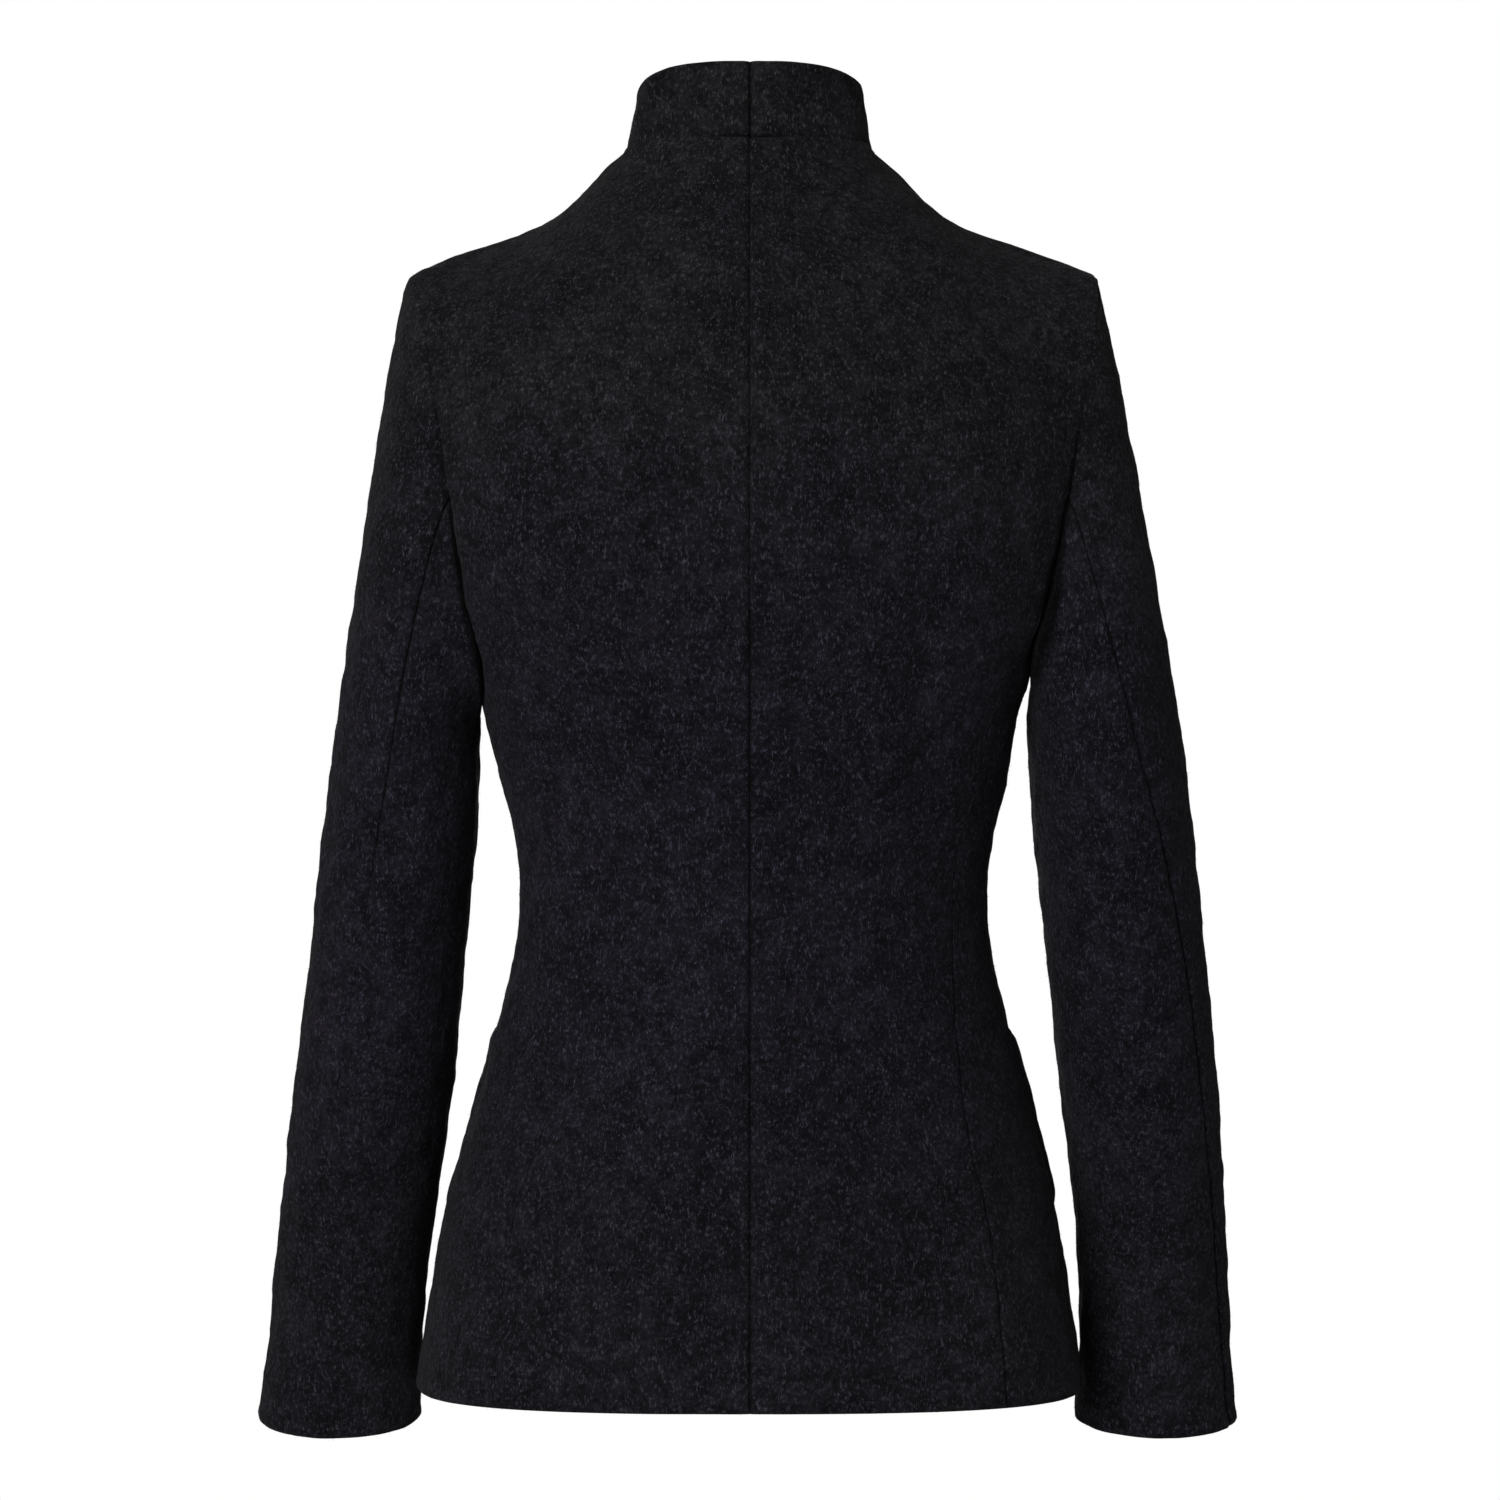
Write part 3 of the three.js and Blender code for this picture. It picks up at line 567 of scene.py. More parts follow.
class Front(Panel):
    """A front, from its edge past the centre front to the side seam and the armhole."""

    columns = LAP_COLUMNS + FRONT_NECK_COLUMNS + SHOULDER_COLUMNS
    neck_end = LAP_COLUMNS + FRONT_NECK_COLUMNS

    def lean(self) -> Lean:
        """The lean of the armhole's front edge."""
        return self.side.front_lean

    def lower(self, u: Array, z: Array) -> Array:
        """The front on the torso's rings."""
        lap_turn = Torso.front_turn_at(self.side, self._lap_x(u), z)
        share = np.maximum(u - LAP_COLUMNS, 0) / (self.columns - LAP_COLUMNS)
        turn = mix(Torso.front_turn_at(self.side, np.asarray(LAP), z), Torso.front_seam_turn(z), share)
        return Torso.point(self.side, np.where(u <= LAP_COLUMNS, lap_turn, turn), z)

    def top(self, u: Array) -> Array:
        """The neck seam across the lap and round to the side of the neck, then the shoulder seam."""
        lap_turn = Neck.turn_at(self._lap_x(u))
        share = np.clip((u - LAP_COLUMNS) / FRONT_NECK_COLUMNS, 0, 1)
        turn = mix(Neck.turn_at(np.asarray(LAP)), math.pi / 2, share)
        neck = Neck.seam(self.side, np.where(u <= LAP_COLUMNS, lap_turn, turn))
        shoulder = Neck.shoulder_point(self.side, np.maximum(u - self.neck_end, 0) / SHOULDER_COLUMNS)
        return np.where((u <= self.neck_end)[..., None], neck, shoulder)

    def place(self, u: Array) -> Array:
        """The place along the neck and shoulder line."""
        neck = np.maximum(0, (u - LAP_COLUMNS) / FRONT_NECK_COLUMNS)
        return np.where(u > self.neck_end, 1 + (u - self.neck_end) / SHOULDER_COLUMNS, neck)

    @staticmethod
    def _lap_x(u: Array) -> Array:
        """How far a column of the lap is from the centre front."""
        return LAP * (2 * np.minimum(u, LAP_COLUMNS) / LAP_COLUMNS - 1)


@dataclass
class Pressing:
    """How a panel is steamed over the shoulder, so that the way up to the neck has no ridge."""

    per_column: int = 4
    per_row: int = 8
    from_row: float = 11.0
    full_row: float = 15.0
    rounds: int = 100
    least_step: float = 3.2  # millimetres, so that a round never overshoots
    pace: float = 2.0  # square millimetres a round
    calm: float = 4.0  # places of the coarse grid next to an edge, over which it fades out

    def heights(self, panel: Panel) -> Array:
        """How far each point of a coarse grid moves out.

        Args:
            panel: the panel before it is pressed.

        Returns:
            Millimetres, for every place of the grid from from_row up, and 0 at its edges.
        """
        u = np.arange(panel.columns * self.per_column + 1) / self.per_column
        v = self.from_row + np.arange(round((ROWS - self.from_row) * self.per_row) + 1) / self.per_row
        grid_u, grid_v = np.meshgrid(u, v, indexing="ij")
        start = panel(grid_u, grid_v)
        out = outward(panel, (panel.columns, ROWS), grid_u, grid_v, 1)
        across, along = step_lengths(start, 0)[..., None], step_lengths(start, 1)[..., None]
        across, along = np.maximum(across, self.least_step), np.maximum(along, self.least_step)
        weight = smooth_step(self.from_row, self.full_row, grid_v)[1:-1, 1:-1, None]
        place = start.copy()
        for _ in range(self.rounds):
            over, up = np.diff(place, axis=0) / across, np.diff(place, axis=1) / along
            bend = 2 * np.diff(over, axis=0)[:, 1:-1] / (across[1:, 1:-1] + across[:-1, 1:-1])
            bend = bend + 2 * np.diff(up, axis=1)[1:-1] / (along[1:-1, 1:] + along[1:-1, :-1])
            normal = out[1:-1, 1:-1]
            place[1:-1, 1:-1] += normal * (bend * normal).sum(-1, keepdims=True) * weight * self.pace
        from_side = np.minimum(grid_u, panel.columns - grid_u) * self.per_column
        from_seam = (ROWS - grid_v) * self.per_row
        near = smooth_step(0, self.calm, from_side) * smooth_step(0, self.calm, from_seam)
        return ((place - start) * out).sum(-1) * near

    def at(self, heights: Array, u: Array, v: Array) -> Array:
        """The movement at any place, smoothly between the places of the coarse grid."""
        x = np.clip(u * self.per_column, 0, heights.shape[0] - 1)
        y = np.clip((v - self.from_row) * self.per_row, 0, heights.shape[1] - 1)
        total = np.zeros(np.broadcast(x, y).shape)
        for i, across in self._shares(x, heights.shape[0]):
            for j, along in self._shares(y, heights.shape[1]):
                total = total + across * along * heights[i, j]
        return total

    @staticmethod
    def _shares(place: Array, count: int) -> list[tuple[Array, Array]]:
        """The four places round each one, with their shares in a smooth curve through them."""
        first = np.clip(np.floor(place).astype(int), 0, count - 2)
        t = place - first
        shares = (
            t * (-1 + t * (2 - t)) / 2,
            (2 + t * t * (3 * t - 5)) / 2,
            t * (1 + t * (4 - 3 * t)) / 2,
            t * t * (t - 1) / 2,
        )
        return [(np.clip(first + k - 1, 0, count - 1), share) for k, share in enumerate(shares)]


class Pressed:
    """A panel that has been pressed."""

    def __init__(self, panel: Panel) -> None:
        """Presses the panel."""
        self.panel = panel
        self.pressing = Pressing()
        self.heights = self.pressing.heights(panel)

    def __call__(self, u: Array, v: Array) -> Array:
        """The outer face."""
        u, v = floats(u, v)
        out = outward(self.panel, (self.panel.columns, ROWS), u, v, 1)
        return self.panel(u, v) + out * self.pressing.at(self.heights, u, v)[..., None]


class LappedFront(Front):
    """The front that lies on the other one, lifted off it where it laps over."""

    def __call__(self, u: Array, v: Array) -> Array:
        """The outer face."""
        u, v = floats(u, v)
        base = super().__call__
        out = outward(base, (self.columns, ROWS), u, v, self.side.sign)
        return base(u, v) + out * (LAP_LIFT * np.clip(LAP_COLUMNS + 1 - u, 0, 1))[..., None]


def outward(surface: Surface, limits: tuple[float, float], u: Array, v: Array, sign: int) -> Array:
    """The outward direction of a surface.

    Args:
        surface: the surface over its grid.
        limits: the last column and row.
        u: columns.
        v: rows.
        sign: 1 where columns, rows and outward make a right hand, and -1 otherwise.

    Returns:
        Directions of length 1.
    """
    across = surface(np.minimum(u + TINY, limits[0]), v) - surface(np.maximum(u - TINY, 0), v)
    along = surface(u, np.minimum(v + TINY, limits[1])) - surface(u, np.maximum(v - TINY, 0))
    return unit(np.cross(across, along)) * sign


class SidePanel(Sided):
    """A side panel, whose head dips under the arm."""

    def __call__(self, u: Array, v: Array) -> Array:
        """The outer face."""
        u, v = floats(u, v)
        angle = (u / SIDE_COLUMNS) * math.pi
        z = mix(HEM_Z, mix(JOINT_Z, self.side.underarm_z, np.sin(angle)), v / LOWER_ROWS)
        turn = mix(Torso.back_seam_turn(z), Torso.front_seam_turn(z), (1 - np.cos(angle)) / 2)
        return Torso.point(self.side, turn, z)


@dataclass
class Sleeve(Sided):
    """A whole sleeve, for a turn in degrees and a row from the armhole down to the cuff."""

    rows = HEAD_ROWS + ARM_ROWS

    def __post_init__(self) -> None:
        """Keeps the panels that the armhole runs along."""
        self.back, self.front, self.under = Back(self.side), Front(self.side), SidePanel(self.side)

    def armhole(self, step: Array) -> Array:
        """The armhole's edge: down the back from step 0, under the arm from 8 and up the front from 16."""
        third = ARMHOLE_STEPS / 3
        s = np.mod(step, ARMHOLE_STEPS)
        drop = np.clip(s, 0, third) * UPPER_ROWS / third
        back = self.back(np.full(s.shape, float(Back.columns)), ROWS - drop)
        across = np.clip((s - third) / third, 0, 1) * SIDE_COLUMNS
        under = self.under(across, np.full(s.shape, float(LOWER_ROWS)))
        climb = np.clip((s - 2 * third) / third, 0, 1) * UPPER_ROWS
        front = self.front(np.full(s.shape, float(Front.columns)), LOWER_ROWS + climb)
        return np.where((s <= third)[..., None], back, np.where((s <= 2 * third)[..., None], under, front))

    def ring(self, turn: Array, z: Array) -> Array:
        """A point of a level ring. The turn is 0 on the outside of the arm and a quarter at its back."""
        x = self.side.sleeve("x", z) + self.side.sleeve("half", z) * np.cos(turn)
        y = TableCurve.of(SLEEVE, "z", "y")(z) + TableCurve.of(SLEEVE, "z", "depth")(z) * np.sin(turn)
        return points(self.side.sign * x, y, z)

    def __call__(self, degrees: Array, v: Array) -> Array:
        """The outer face."""
        degrees, v = floats(degrees, v)
        turn = np.radians(degrees)
        share = np.clip((v - HEAD_ROWS) / ARM_ROWS, 0, 1)
        arm = self.ring(turn, mix(SLEEVE_HEAD_Z, CUFF_Z, share) - CUFF_TILT * share * share * np.sin(turn))
        start = self.armhole(degrees * ARMHOLE_STEPS / 360)
        start[..., 0] -= self.side.sign * ARMHOLE_LAP
        level = np.full(turn.shape, SLEEVE_HEAD_Z)
        end = self.ring(turn, level)
        length = np.linalg.norm(end - start, axis=-1, keepdims=True)
        middle = (1 + np.cos(turn)) / 2
        leaving = unit(
            points(
                self.side.sign * mix(UNDERARM_OUT, self.side.head.out, middle),
                HEAD_SPREAD * np.sin(turn),
                -mix(1, self.side.head.down, middle),
            )
        ) * np.minimum(HEAD_REACH * length, self.side.head.fullness)
        arriving = (self.ring(turn, level - 1) - end) * length
        t = (np.minimum(v, HEAD_ROWS) / HEAD_ROWS)[..., None] ** HEAD_CROWDING
        return np.where((v >= HEAD_ROWS)[..., None], arm, cubic(start, leaving, end, arriving, t))

    def seam_turn(self, v: Array) -> Array:
        """The turn of the back seam at a row, in degrees."""
        share = (np.minimum(v, HEAD_ROWS) / HEAD_ROWS) ** HEAD_CROWDING
        head_z = mix(SLEEVE[-1].z, SLEEVE_HEAD_Z, share)
        arm_z = mix(SLEEVE_HEAD_Z, CUFF_Z, np.maximum(v - HEAD_ROWS, 0) / ARM_ROWS)
        return self.side.sleeve("seam", np.where(v < HEAD_ROWS, head_z, arm_z))

    def top_piece(self, u: Array, v: Array) -> Array:
        """The top sleeve, from the front seam round the outside to the back seam, for u from 0 to 1."""
        return self(mix(SLEEVE_FRONT_TURN, self.seam_turn(v), u), v)

    def under_piece(self, u: Array, v: Array) -> Array:
        """The under sleeve, from the back seam round the inside to the front seam."""
        return self(mix(self.seam_turn(v), SLEEVE_FRONT_TURN + 360, u), v)


class CollarBand(Sided):
    """Half of the stand collar, from the centre back to the centre front."""

    columns = NECK_COLUMNS + FRONT_NECK_COLUMNS + LAP_COLUMNS // 2

    def __call__(self, u: Array, v: Array) -> Array:
        """The outer face."""
        u, v = floats(u, v)
        past = u - NECK_COLUMNS
        onto_lap = np.clip((past - FRONT_NECK_COLUMNS) / (LAP_COLUMNS / 2), 0, 1)
        lap_turn = Neck.turn_at(LAP * (1 - onto_lap))
        lap_start = Neck.turn_at(np.asarray(LAP))
        round_turn = mix(math.pi / 2, lap_start, np.clip(past / FRONT_NECK_COLUMNS, 0, 1))
        turn = np.where(past <= 0, (u / NECK_COLUMNS) * math.pi / 2, round_turn)
        turn = np.where(past > FRONT_NECK_COLUMNS, lap_turn, turn)
        return mix(Neck.seam(self.side, turn), Neck.top(self.side, turn), (v / COLLAR_ROWS)[..., None])


# ---------------------------------------------------------------- edges, creases and felt


class Edge(Enum):
    """How a piece of cloth ends: sewn to its neighbour, set into an armhole, or folded and free."""

    SEAM = "seam"
    ARMHOLE = "armhole"
    FOLD = "fold"


@dataclass(frozen=True)
class EdgeShape:
    """The profile of a piece's edges, in millimetres, over the distance from the edge."""

    groove_depth: float = 1.7
    groove_width: float = 1.25
    ridge_height: float = 0.22
    ridge_at: float = 4.5
    ridge_width: float = 2.2
    armhole_depth: float = 3.0
    armhole_width: float = 3.0
    armhole_ridge: float = 0.3
    armhole_ridge_at: float = 9.0
    fold_roll: float = 0.3
    fold_roll_at: float = 4.0
    fold_left: float = 0.002  # the share of a fold's half thickness that is left at its very edge, squared
    tuck_in: float = 2.0
    tuck_over: float = 0.9
    least_tuck: float = 0.25  # the share of tuck_in that a hidden seam keeps
    faded: float = 0.03  # the share of a fading seam that is left away from the centre line
    fade_reach: float = 21.0
    # how wide the shade painted along a sewn edge is
    seam_shade_width: float = 1.15
    steps: tuple[float, ...] = (0.0, 0.35, 0.8, 1.4, 2.2, 3.4, 5.0, 7.0)  # places of the grid lines
    steps_share: float = 0.3  # the share of a narrow piece that they may take up at each end

    def rise(self, edge: Edge, distance: Array) -> Array:
        """How far the cloth's middle moves out at a distance from an edge."""
        if edge is Edge.SEAM:
            ridge = self.ridge_height * bump(distance, self.ridge_at, self.ridge_width)
            return ridge - self.groove_depth * np.exp(-distance / self.groove_width)
        if edge is Edge.ARMHOLE:
            ridge = self.armhole_ridge * bump(distance, self.armhole_ridge_at, self.armhole_width)
            return ridge - self.armhole_depth * bump(distance, 0, self.armhole_width)
        return self.fold_roll * bump(distance, self.fold_roll_at, self.fold_roll_at)

    def close(self, edge: Edge, distance: Array, thickness: Array) -> Array:
        """How much of half the thickness is left at a distance from an edge: folds close in a round."""
        if edge is not Edge.FOLD:
            return np.ones_like(distance)
        radius = thickness / 2
        inset = np.clip(1 - distance / radius, 0, 1)
        return np.sqrt(np.maximum(1 - inset**2, self.fold_left))


class Face(Enum):
    """Which way the cloth faces where a crease lies."""

    BACK = 1
    FRONT = -1


@dataclass(frozen=True)
class Crease:
    """A soft trough (depth below 0) or ridge between two points, seen from the back or the front."""

    face: Face
    x0: float
    z0: float
    x1: float
    z1: float
    width: float
    depth: float
    bow: float = 0.0

    taper_power: ClassVar[float] = 0.8
    facing_from: ClassVar[float] = 0.05
    facing_full: ClassVar[float] = 0.5

    def height(self, where: Array, out: Array) -> Array:
        """The displacement of points by this crease.

        Args:
            where: the points.
            out: the outward directions there.

        Returns:
            Millimetres, positive outward.
        """
        ax, az = self.x1 - self.x0, self.z1 - self.z0
        length = math.hypot(ax, az)
        px, pz = where[..., 0] - self.x0, where[..., 2] - self.z0
        t = (px * ax + pz * az) / length**2
        along = np.clip(t, 0, 1)
        off = (px * az - pz * ax) / length - self.bow * np.sin(along * math.pi)
        taper = np.sin(along * math.pi) ** self.taper_power * (t > 0) * (t < 1)
        facing = smooth_step(self.facing_from, self.facing_full, out[..., 1] * self.face.value)
        return self.depth * bump(off, 0, self.width) * taper * facing


def creases(face: Face, *rows: tuple[float, ...]) -> tuple[Crease, ...]:
    """The creases on one face of the jacket, from rows of x0, z0, x1, z1, width, depth and bow."""
    return tuple(Crease(face, *row) for row in rows)


BODY_CREASES = creases(
    Face.BACK,
    # The hollow down the right back panel and the ridge beside it.
    (-85, -145, -97, -300, 13, -1.7, 3),
    (-90, -235, -101, -430, 11, -2.2, -3),
    (-64, -180, -72, -400, 14, 0.9, 2),
    # Drags above the waist, where the flare begins.
    (-128, -352, -84, -372, 9, -1.2),
    (-126, -402, -96, -396, 7, -0.9),
    (124, -372, 92, -388, 9, -0.9),
    (118, -330, 96, -352, 10, -0.6),
    # Falls of the flared skirt.
    (84, -420, 112, -690, 20, -1.7, 4),
    (46, -455, 58, -690, 22, 1.3, -3),
    (-52, -440, -74, -700, 21, -1.5, 3),
    (-106, -470, -128, -690, 17, 1.2, 2),
    # Under the arms, towards the shoulder blades.
    (150, -235, 112, -150, 10, -1.1, -3),
    (-158, -228, -118, -140, 10, -1.3, 3),
) + creases(
    Face.FRONT,
    # The front's own.
    (96, -210, 60, -330, 17, -2.2, 4),
    (-92, -205, -62, -322, 18, -2.0, -4),
    (110, -372, 60, -392, 9, -1.3),
    (-112, -380, -66, -388, 8, -1.1),
    (72, -440, 96, -690, 20, -1.8, -4),
    (-66, -430, -100, -690, 21, -1.6, 4),
    (-112, -455, -140, -680, 17, 1.2, -3),
    (118, -460, 138, -690, 16, 1.1, 3),
    (150, -232, 120, -128, 10, -1.4, 3),
    (-152, -228, -120, -120, 10, -1.2, -3),
)

ARM_CREASES = creases(
    Face.BACK,
    # At the elbows, where the arm bends a little.
    (166, -352, 204, -330, 9, -1.3, 2),
    (172, -388, 216, -362, 8, -1.0, 2),
    (214, -440, 184, -418, 10, 0.8, 2),
    (-168, -340, -206, -322, 9, -1.2, -2),
    (-180, -392, -222, -372, 9, -1.1, -2),
    (-226, -452, -192, -424, 11, 0.8, -2),
    # Long soft falls down the forearms.
    (196, -430, 214, -640, 10, -0.9, 3),
    (214, -470, 236, -670, 9, 0.8, -2),
    (-204, -440, -214, -650, 10, -0.9, -3),
    (-226, -500, -238, -680, 9, 0.7, 2),
    # Below the sleeve heads.
    (176, -110, 186, -232, 9, -1.1, 2),
    (-186, -120, -190, -236, 8, -1.2, -2),
) + creases(
    Face.FRONT,
    (172, -345, 206, -368, 9, -1.8, -2),
    (178, -376, 218, -392, 8, -1.5, 2),
    (186, -410, 220, -420, 9, -1.1, 2),
    (-178, -350, -212, -366, 9, -1.7, 2),
    (-184, -384, -224, -400, 8, -1.5, -2),
    (-192, -420, -226, -434, 10, -1.0, -2),
    (180, -120, 184, -240, 10, -1.2, 2),
    (-184, -118, -188, -236, 10, -1.2, -2),
)


@dataclass(frozen=True)
class FeltLumps:
    """The gentle unevenness of fulled cloth: waves of many lengths in every direction."""

    amount: float = 0.085
    shortest: float = 7.0
    longest: float = 42.0
    waves: int = 48
    power: float = 0.4  # how much lower the shorter waves are

    def height(self, where: Array) -> Array:
        """The displacement of points, in millimetres."""
        chance = np.random.default_rng(SEED)
        ways = unit(chance.normal(size=(self.waves, 3)))
        lengths = self.shortest * (self.longest / self.shortest) ** chance.random(self.waves)
        phases = chance.random(self.waves) * 2 * math.pi
        total = np.zeros(where.shape[:-1])
        for way, length, phase in zip(ways, lengths, phases):
            wave = np.sin(where @ way * (2 * math.pi / length) + phase)
            total += wave * (length / self.longest) ** self.power
        return total * self.amount


# ---------------------------------------------------------------- a piece of cloth


def link(name: str, vertices: Array, faces: Array) -> bpy.types.Object:
    """A new mesh object at the origin.

    Args:
        name: the object's name.
        vertices: its points, in metres.
        faces: rows of vertex numbers, all with as many corners.

    Returns:
        The object, smooth shaded.
    """
    corners = faces.shape[1]
    mesh = bpy.data.meshes.new(name)
    mesh.vertices.add(len(vertices))
    mesh.vertices.foreach_set("co", vertices.astype(np.float32).ravel())
    mesh.loops.add(faces.size)
    mesh.loops.foreach_set("vertex_index", faces.astype(np.int32).ravel())
    mesh.polygons.add(len(faces))
    mesh.polygons.foreach_set("loop_start", np.arange(0, faces.size, corners, dtype=np.int32))
    mesh.polygons.foreach_set("use_smooth", np.ones(len(faces), bool))
    mesh.update(calc_edges=True)
    mesh.validate()
    piece = bpy.data.objects.new(name, mesh)
    bpy.context.scene.collection.objects.link(piece)
    return piece


@dataclass
class ClothPiece:
    """A closed piece of thick cloth whose outer face follows a surface over its grid."""

    name: str
    surface: Surface
    columns: float
    rows: float
    sign: int  # 1 where columns, rows and outward make a right hand
    start: Edge = Edge.SEAM
    end: Edge = Edge.SEAM
    foot: Edge = Edge.FOLD
    head: Edge = Edge.SEAM
    thickness: float = CLOTH
    shows: tuple[Show, Show, Show, Show] = (Show(),) * 4
    armhole: Show = Show()
    armhole_shade: Show = Show.evenly(2.6)
    fading: int | None = None  # the edge that shows only near the centre line
    turned: tuple[float, float, float, float] = (0, 0, 0, 0)  # allowance turned in behind each edge
    turned_extra: float = 1.5  # what it adds to the thickness
    spacing: float = 3.6
    creases: tuple[Crease, ...] = ()
    flat_shoulder: bool = False
    armhole_from: float = math.inf  # the row from which the end edge is an armhole
    lift: float = 0.0  # how far the piece stands off its surface
    lift_reach: float = 9.0
    least_lift: float = 0.25
    shade_all_over: float = 0.0  # how much shade is painted over the whole piece
    shape: EdgeShape = field(default_factory=EdgeShape)
    lumps: FeltLumps = field(default_factory=FeltLumps)

    # What build works out: the outer face, the ways out of it, every point's distance from each edge, how
    # sharply each edge shows along its length, and the shade painted on every point along seams and armholes.
    outer: Array = field(init=False)
    out: Array = field(init=False)
    ways: tuple[Array, Array, Array, Array] = field(init=False)
    sharpness: list[Array] = field(init=False)
    painted_shade: Array = field(init=False)

    dense: ClassVar[tuple[int, int]] = (161, 221)  # columns and rows along which lengths are measured
    end_inset: ClassVar[float] = 0.02  # the share of the columns by which the way out is read inside an end
    shoulder_band: ClassVar[float] = 0.3  # rows over which a piece turns upright at its shoulder seam
    set_in_band: ClassVar[float] = 0.5  # rows to each side over which a seam turns into an armhole
    turned_soft: ClassVar[float] = 0.9  # half of the way over which a turned allowance ends

    def build(self) -> bpy.types.Object:
        """Returns:
            The piece, which stands for the node of the same name.
        """
        width, length, area = self._shape()
        vertices = np.concatenate((self.outer.reshape(-1, 3), self._inner().reshape(-1, 3)))
        piece = link(self.name, vertices * MM, self._faces())
        # The painted shade along seams and armholes goes into an attribute, which darkens the wool's colour.
        seam = piece.data.attributes.new(SEAM_SHADE_ATTRIBUTE, "FLOAT", "POINT")
        seam.data.foreach_set("value", np.tile(self.painted_shade.ravel(), 2).astype(np.float32))
        return piece

    def _places(self, length: float) -> Array:
        """Distances along a grid line: close together at both ends and evenly spaced between."""
        steps = np.array(self.shape.steps)
        steps = steps[steps < self.shape.steps_share * length]
        inside = length - 2 * steps[-1]
        count = max(2, round(inside / self.spacing))
        even = steps[-1] + inside * np.arange(1, count) / count
        return np.concatenate((steps, even, (length - steps)[::-1]))

    def _grid(self) -> tuple[Array, Array, float, float]:
        """The columns and rows of the grid's points, and the flat width and length."""
        dense_u = np.linspace(0, self.columns, self.dense[0])
        dense_v = np.linspace(0, self.rows, self.dense[1])
        down = distances(self.surface(*np.meshgrid(dense_u, dense_v, indexing="ij")), 1)
        v = np.interp(self._places(down[:, -1].mean()), down.mean(axis=0), dense_v)
        over = distances(self.surface(*np.meshgrid(dense_u, v, indexing="ij")), 0)
        widths = over[-1]
        shares = self._places(widths.max())
        u = np.empty((len(shares), len(v)))
        for j, width in enumerate(widths):
            u[:, j] = np.interp(self._fit(shares, widths.max(), width), over[:, j], dense_u)
        return u, np.broadcast_to(v, u.shape), widths.max(), down[:, -1].max()

    def _shape(self) -> tuple[float, float, float]:
        """Works out the outer face with its edges, creases and felt.

        Returns:
            The flat width, length and area.
        """
        u, v, width, length = self._grid()
        base = self.surface(u, v)
        self.out = self._outward(u, v)
        across, along = distances(base, 0), distances(base, 1)
        self.ways = across, across[-1] - across, along, along[:, -1:] - along
        self.sharpness = self._sharpness(base)
        self.painted_shade = self._painted_shade(base)
        rise, sunk = self._edge_rise(base, v)
        for crease in self.creases:
            rise = rise + crease.height(base, self.out)
        moved = self.out * rise[..., None] + self._armhole_out(base) * sunk[..., None]
        self.outer = self._rounded(base + moved)
        self._tuck(base)
        return width, length, (step_lengths(base, 0)[:, :-1] * step_lengths(base, 1)[:-1, :]).sum()

    def _edge_rise(self, base: Array, v: Array) -> tuple[Array, Array]:
        """How far every point rises by felt, lift and edges, and how far an armhole sinks it its own way."""
        free_ways = (self.ways[0], *self.ways[2:])
        lifted = np.minimum.reduce([smooth_step(0, self.lift_reach, way) for way in free_ways])
        rise = self.lumps.height(base) + self.lift * mix(self.least_lift, 1, lifted)
        sunk = np.zeros_like(rise)
        for edge, way, sharp in zip(self.edges(), self.ways, self.sharpness):
            if edge is Edge.ARMHOLE:
                sunk = sunk + sharp * self.shape.rise(edge, way)
            else:
                rise = rise + sharp * self.shape.rise(edge, way)
        if self.armhole_from < self.rows:
            start, whole = self.armhole_from - self.set_in_band, self.armhole_from + self.set_in_band
            set_in = smooth_step(start, whole, v)
            end_way, sharp = self.ways[1], self.armhole.at(base[-1:, :, 2])
            rise = rise - set_in * self.sharpness[1] * self.shape.rise(self.end, end_way)
            sunk = sunk + set_in * sharp * self.shape.rise(Edge.ARMHOLE, end_way)
            self.sharpness[1] = mix(self.sharpness[1], sharp, set_in[-1:])
            # The painted shade turns into the armhole's where the groove does.
            self.painted_shade = mix(self.painted_shade, self._armhole_darkness(base[-1:], end_way), set_in[-1:])
        return rise, sunk

    def edges(self) -> tuple[Edge, Edge, Edge, Edge]:
        """The kinds of the start, end, foot and head edges."""
        return self.start, self.end, self.foot, self.head

    @staticmethod
    def _edge_lines(base: Array) -> tuple[Array, Array, Array, Array]:
        """The points along the start, end, foot and head edges."""
        return base[:1], base[-1:], base[:, :1], base[:, -1:]

    def _sharpness(self, base: Array) -> list[Array]:
        """How sharply each edge shows along its length."""
        sharp = []
        for k, (edge, line) in enumerate(zip(self.edges(), self._edge_lines(base))):
            share = (self.armhole if edge is Edge.ARMHOLE else self.shows[k]).at(line[..., 2])
            if k == self.fading:
                share = share * mix(self.shape.faded, 1, bump(line[..., 0], 0, self.shape.fade_reach))
            sharp.append(share)
        return sharp

    @staticmethod
    def _armhole_out(base: Array) -> Array:
        """The way out of the armhole's seam, which the pieces on both sides of it share."""
        (middle_y, middle_z), (half_y, half_z) = ARMHOLE_MIDDLE, ARMHOLE_HALF
        y, z = base[..., 1], base[..., 2]
        return unit(points(np.zeros_like(y), (y - middle_y) / half_y**2, (z - middle_z) / half_z**2))

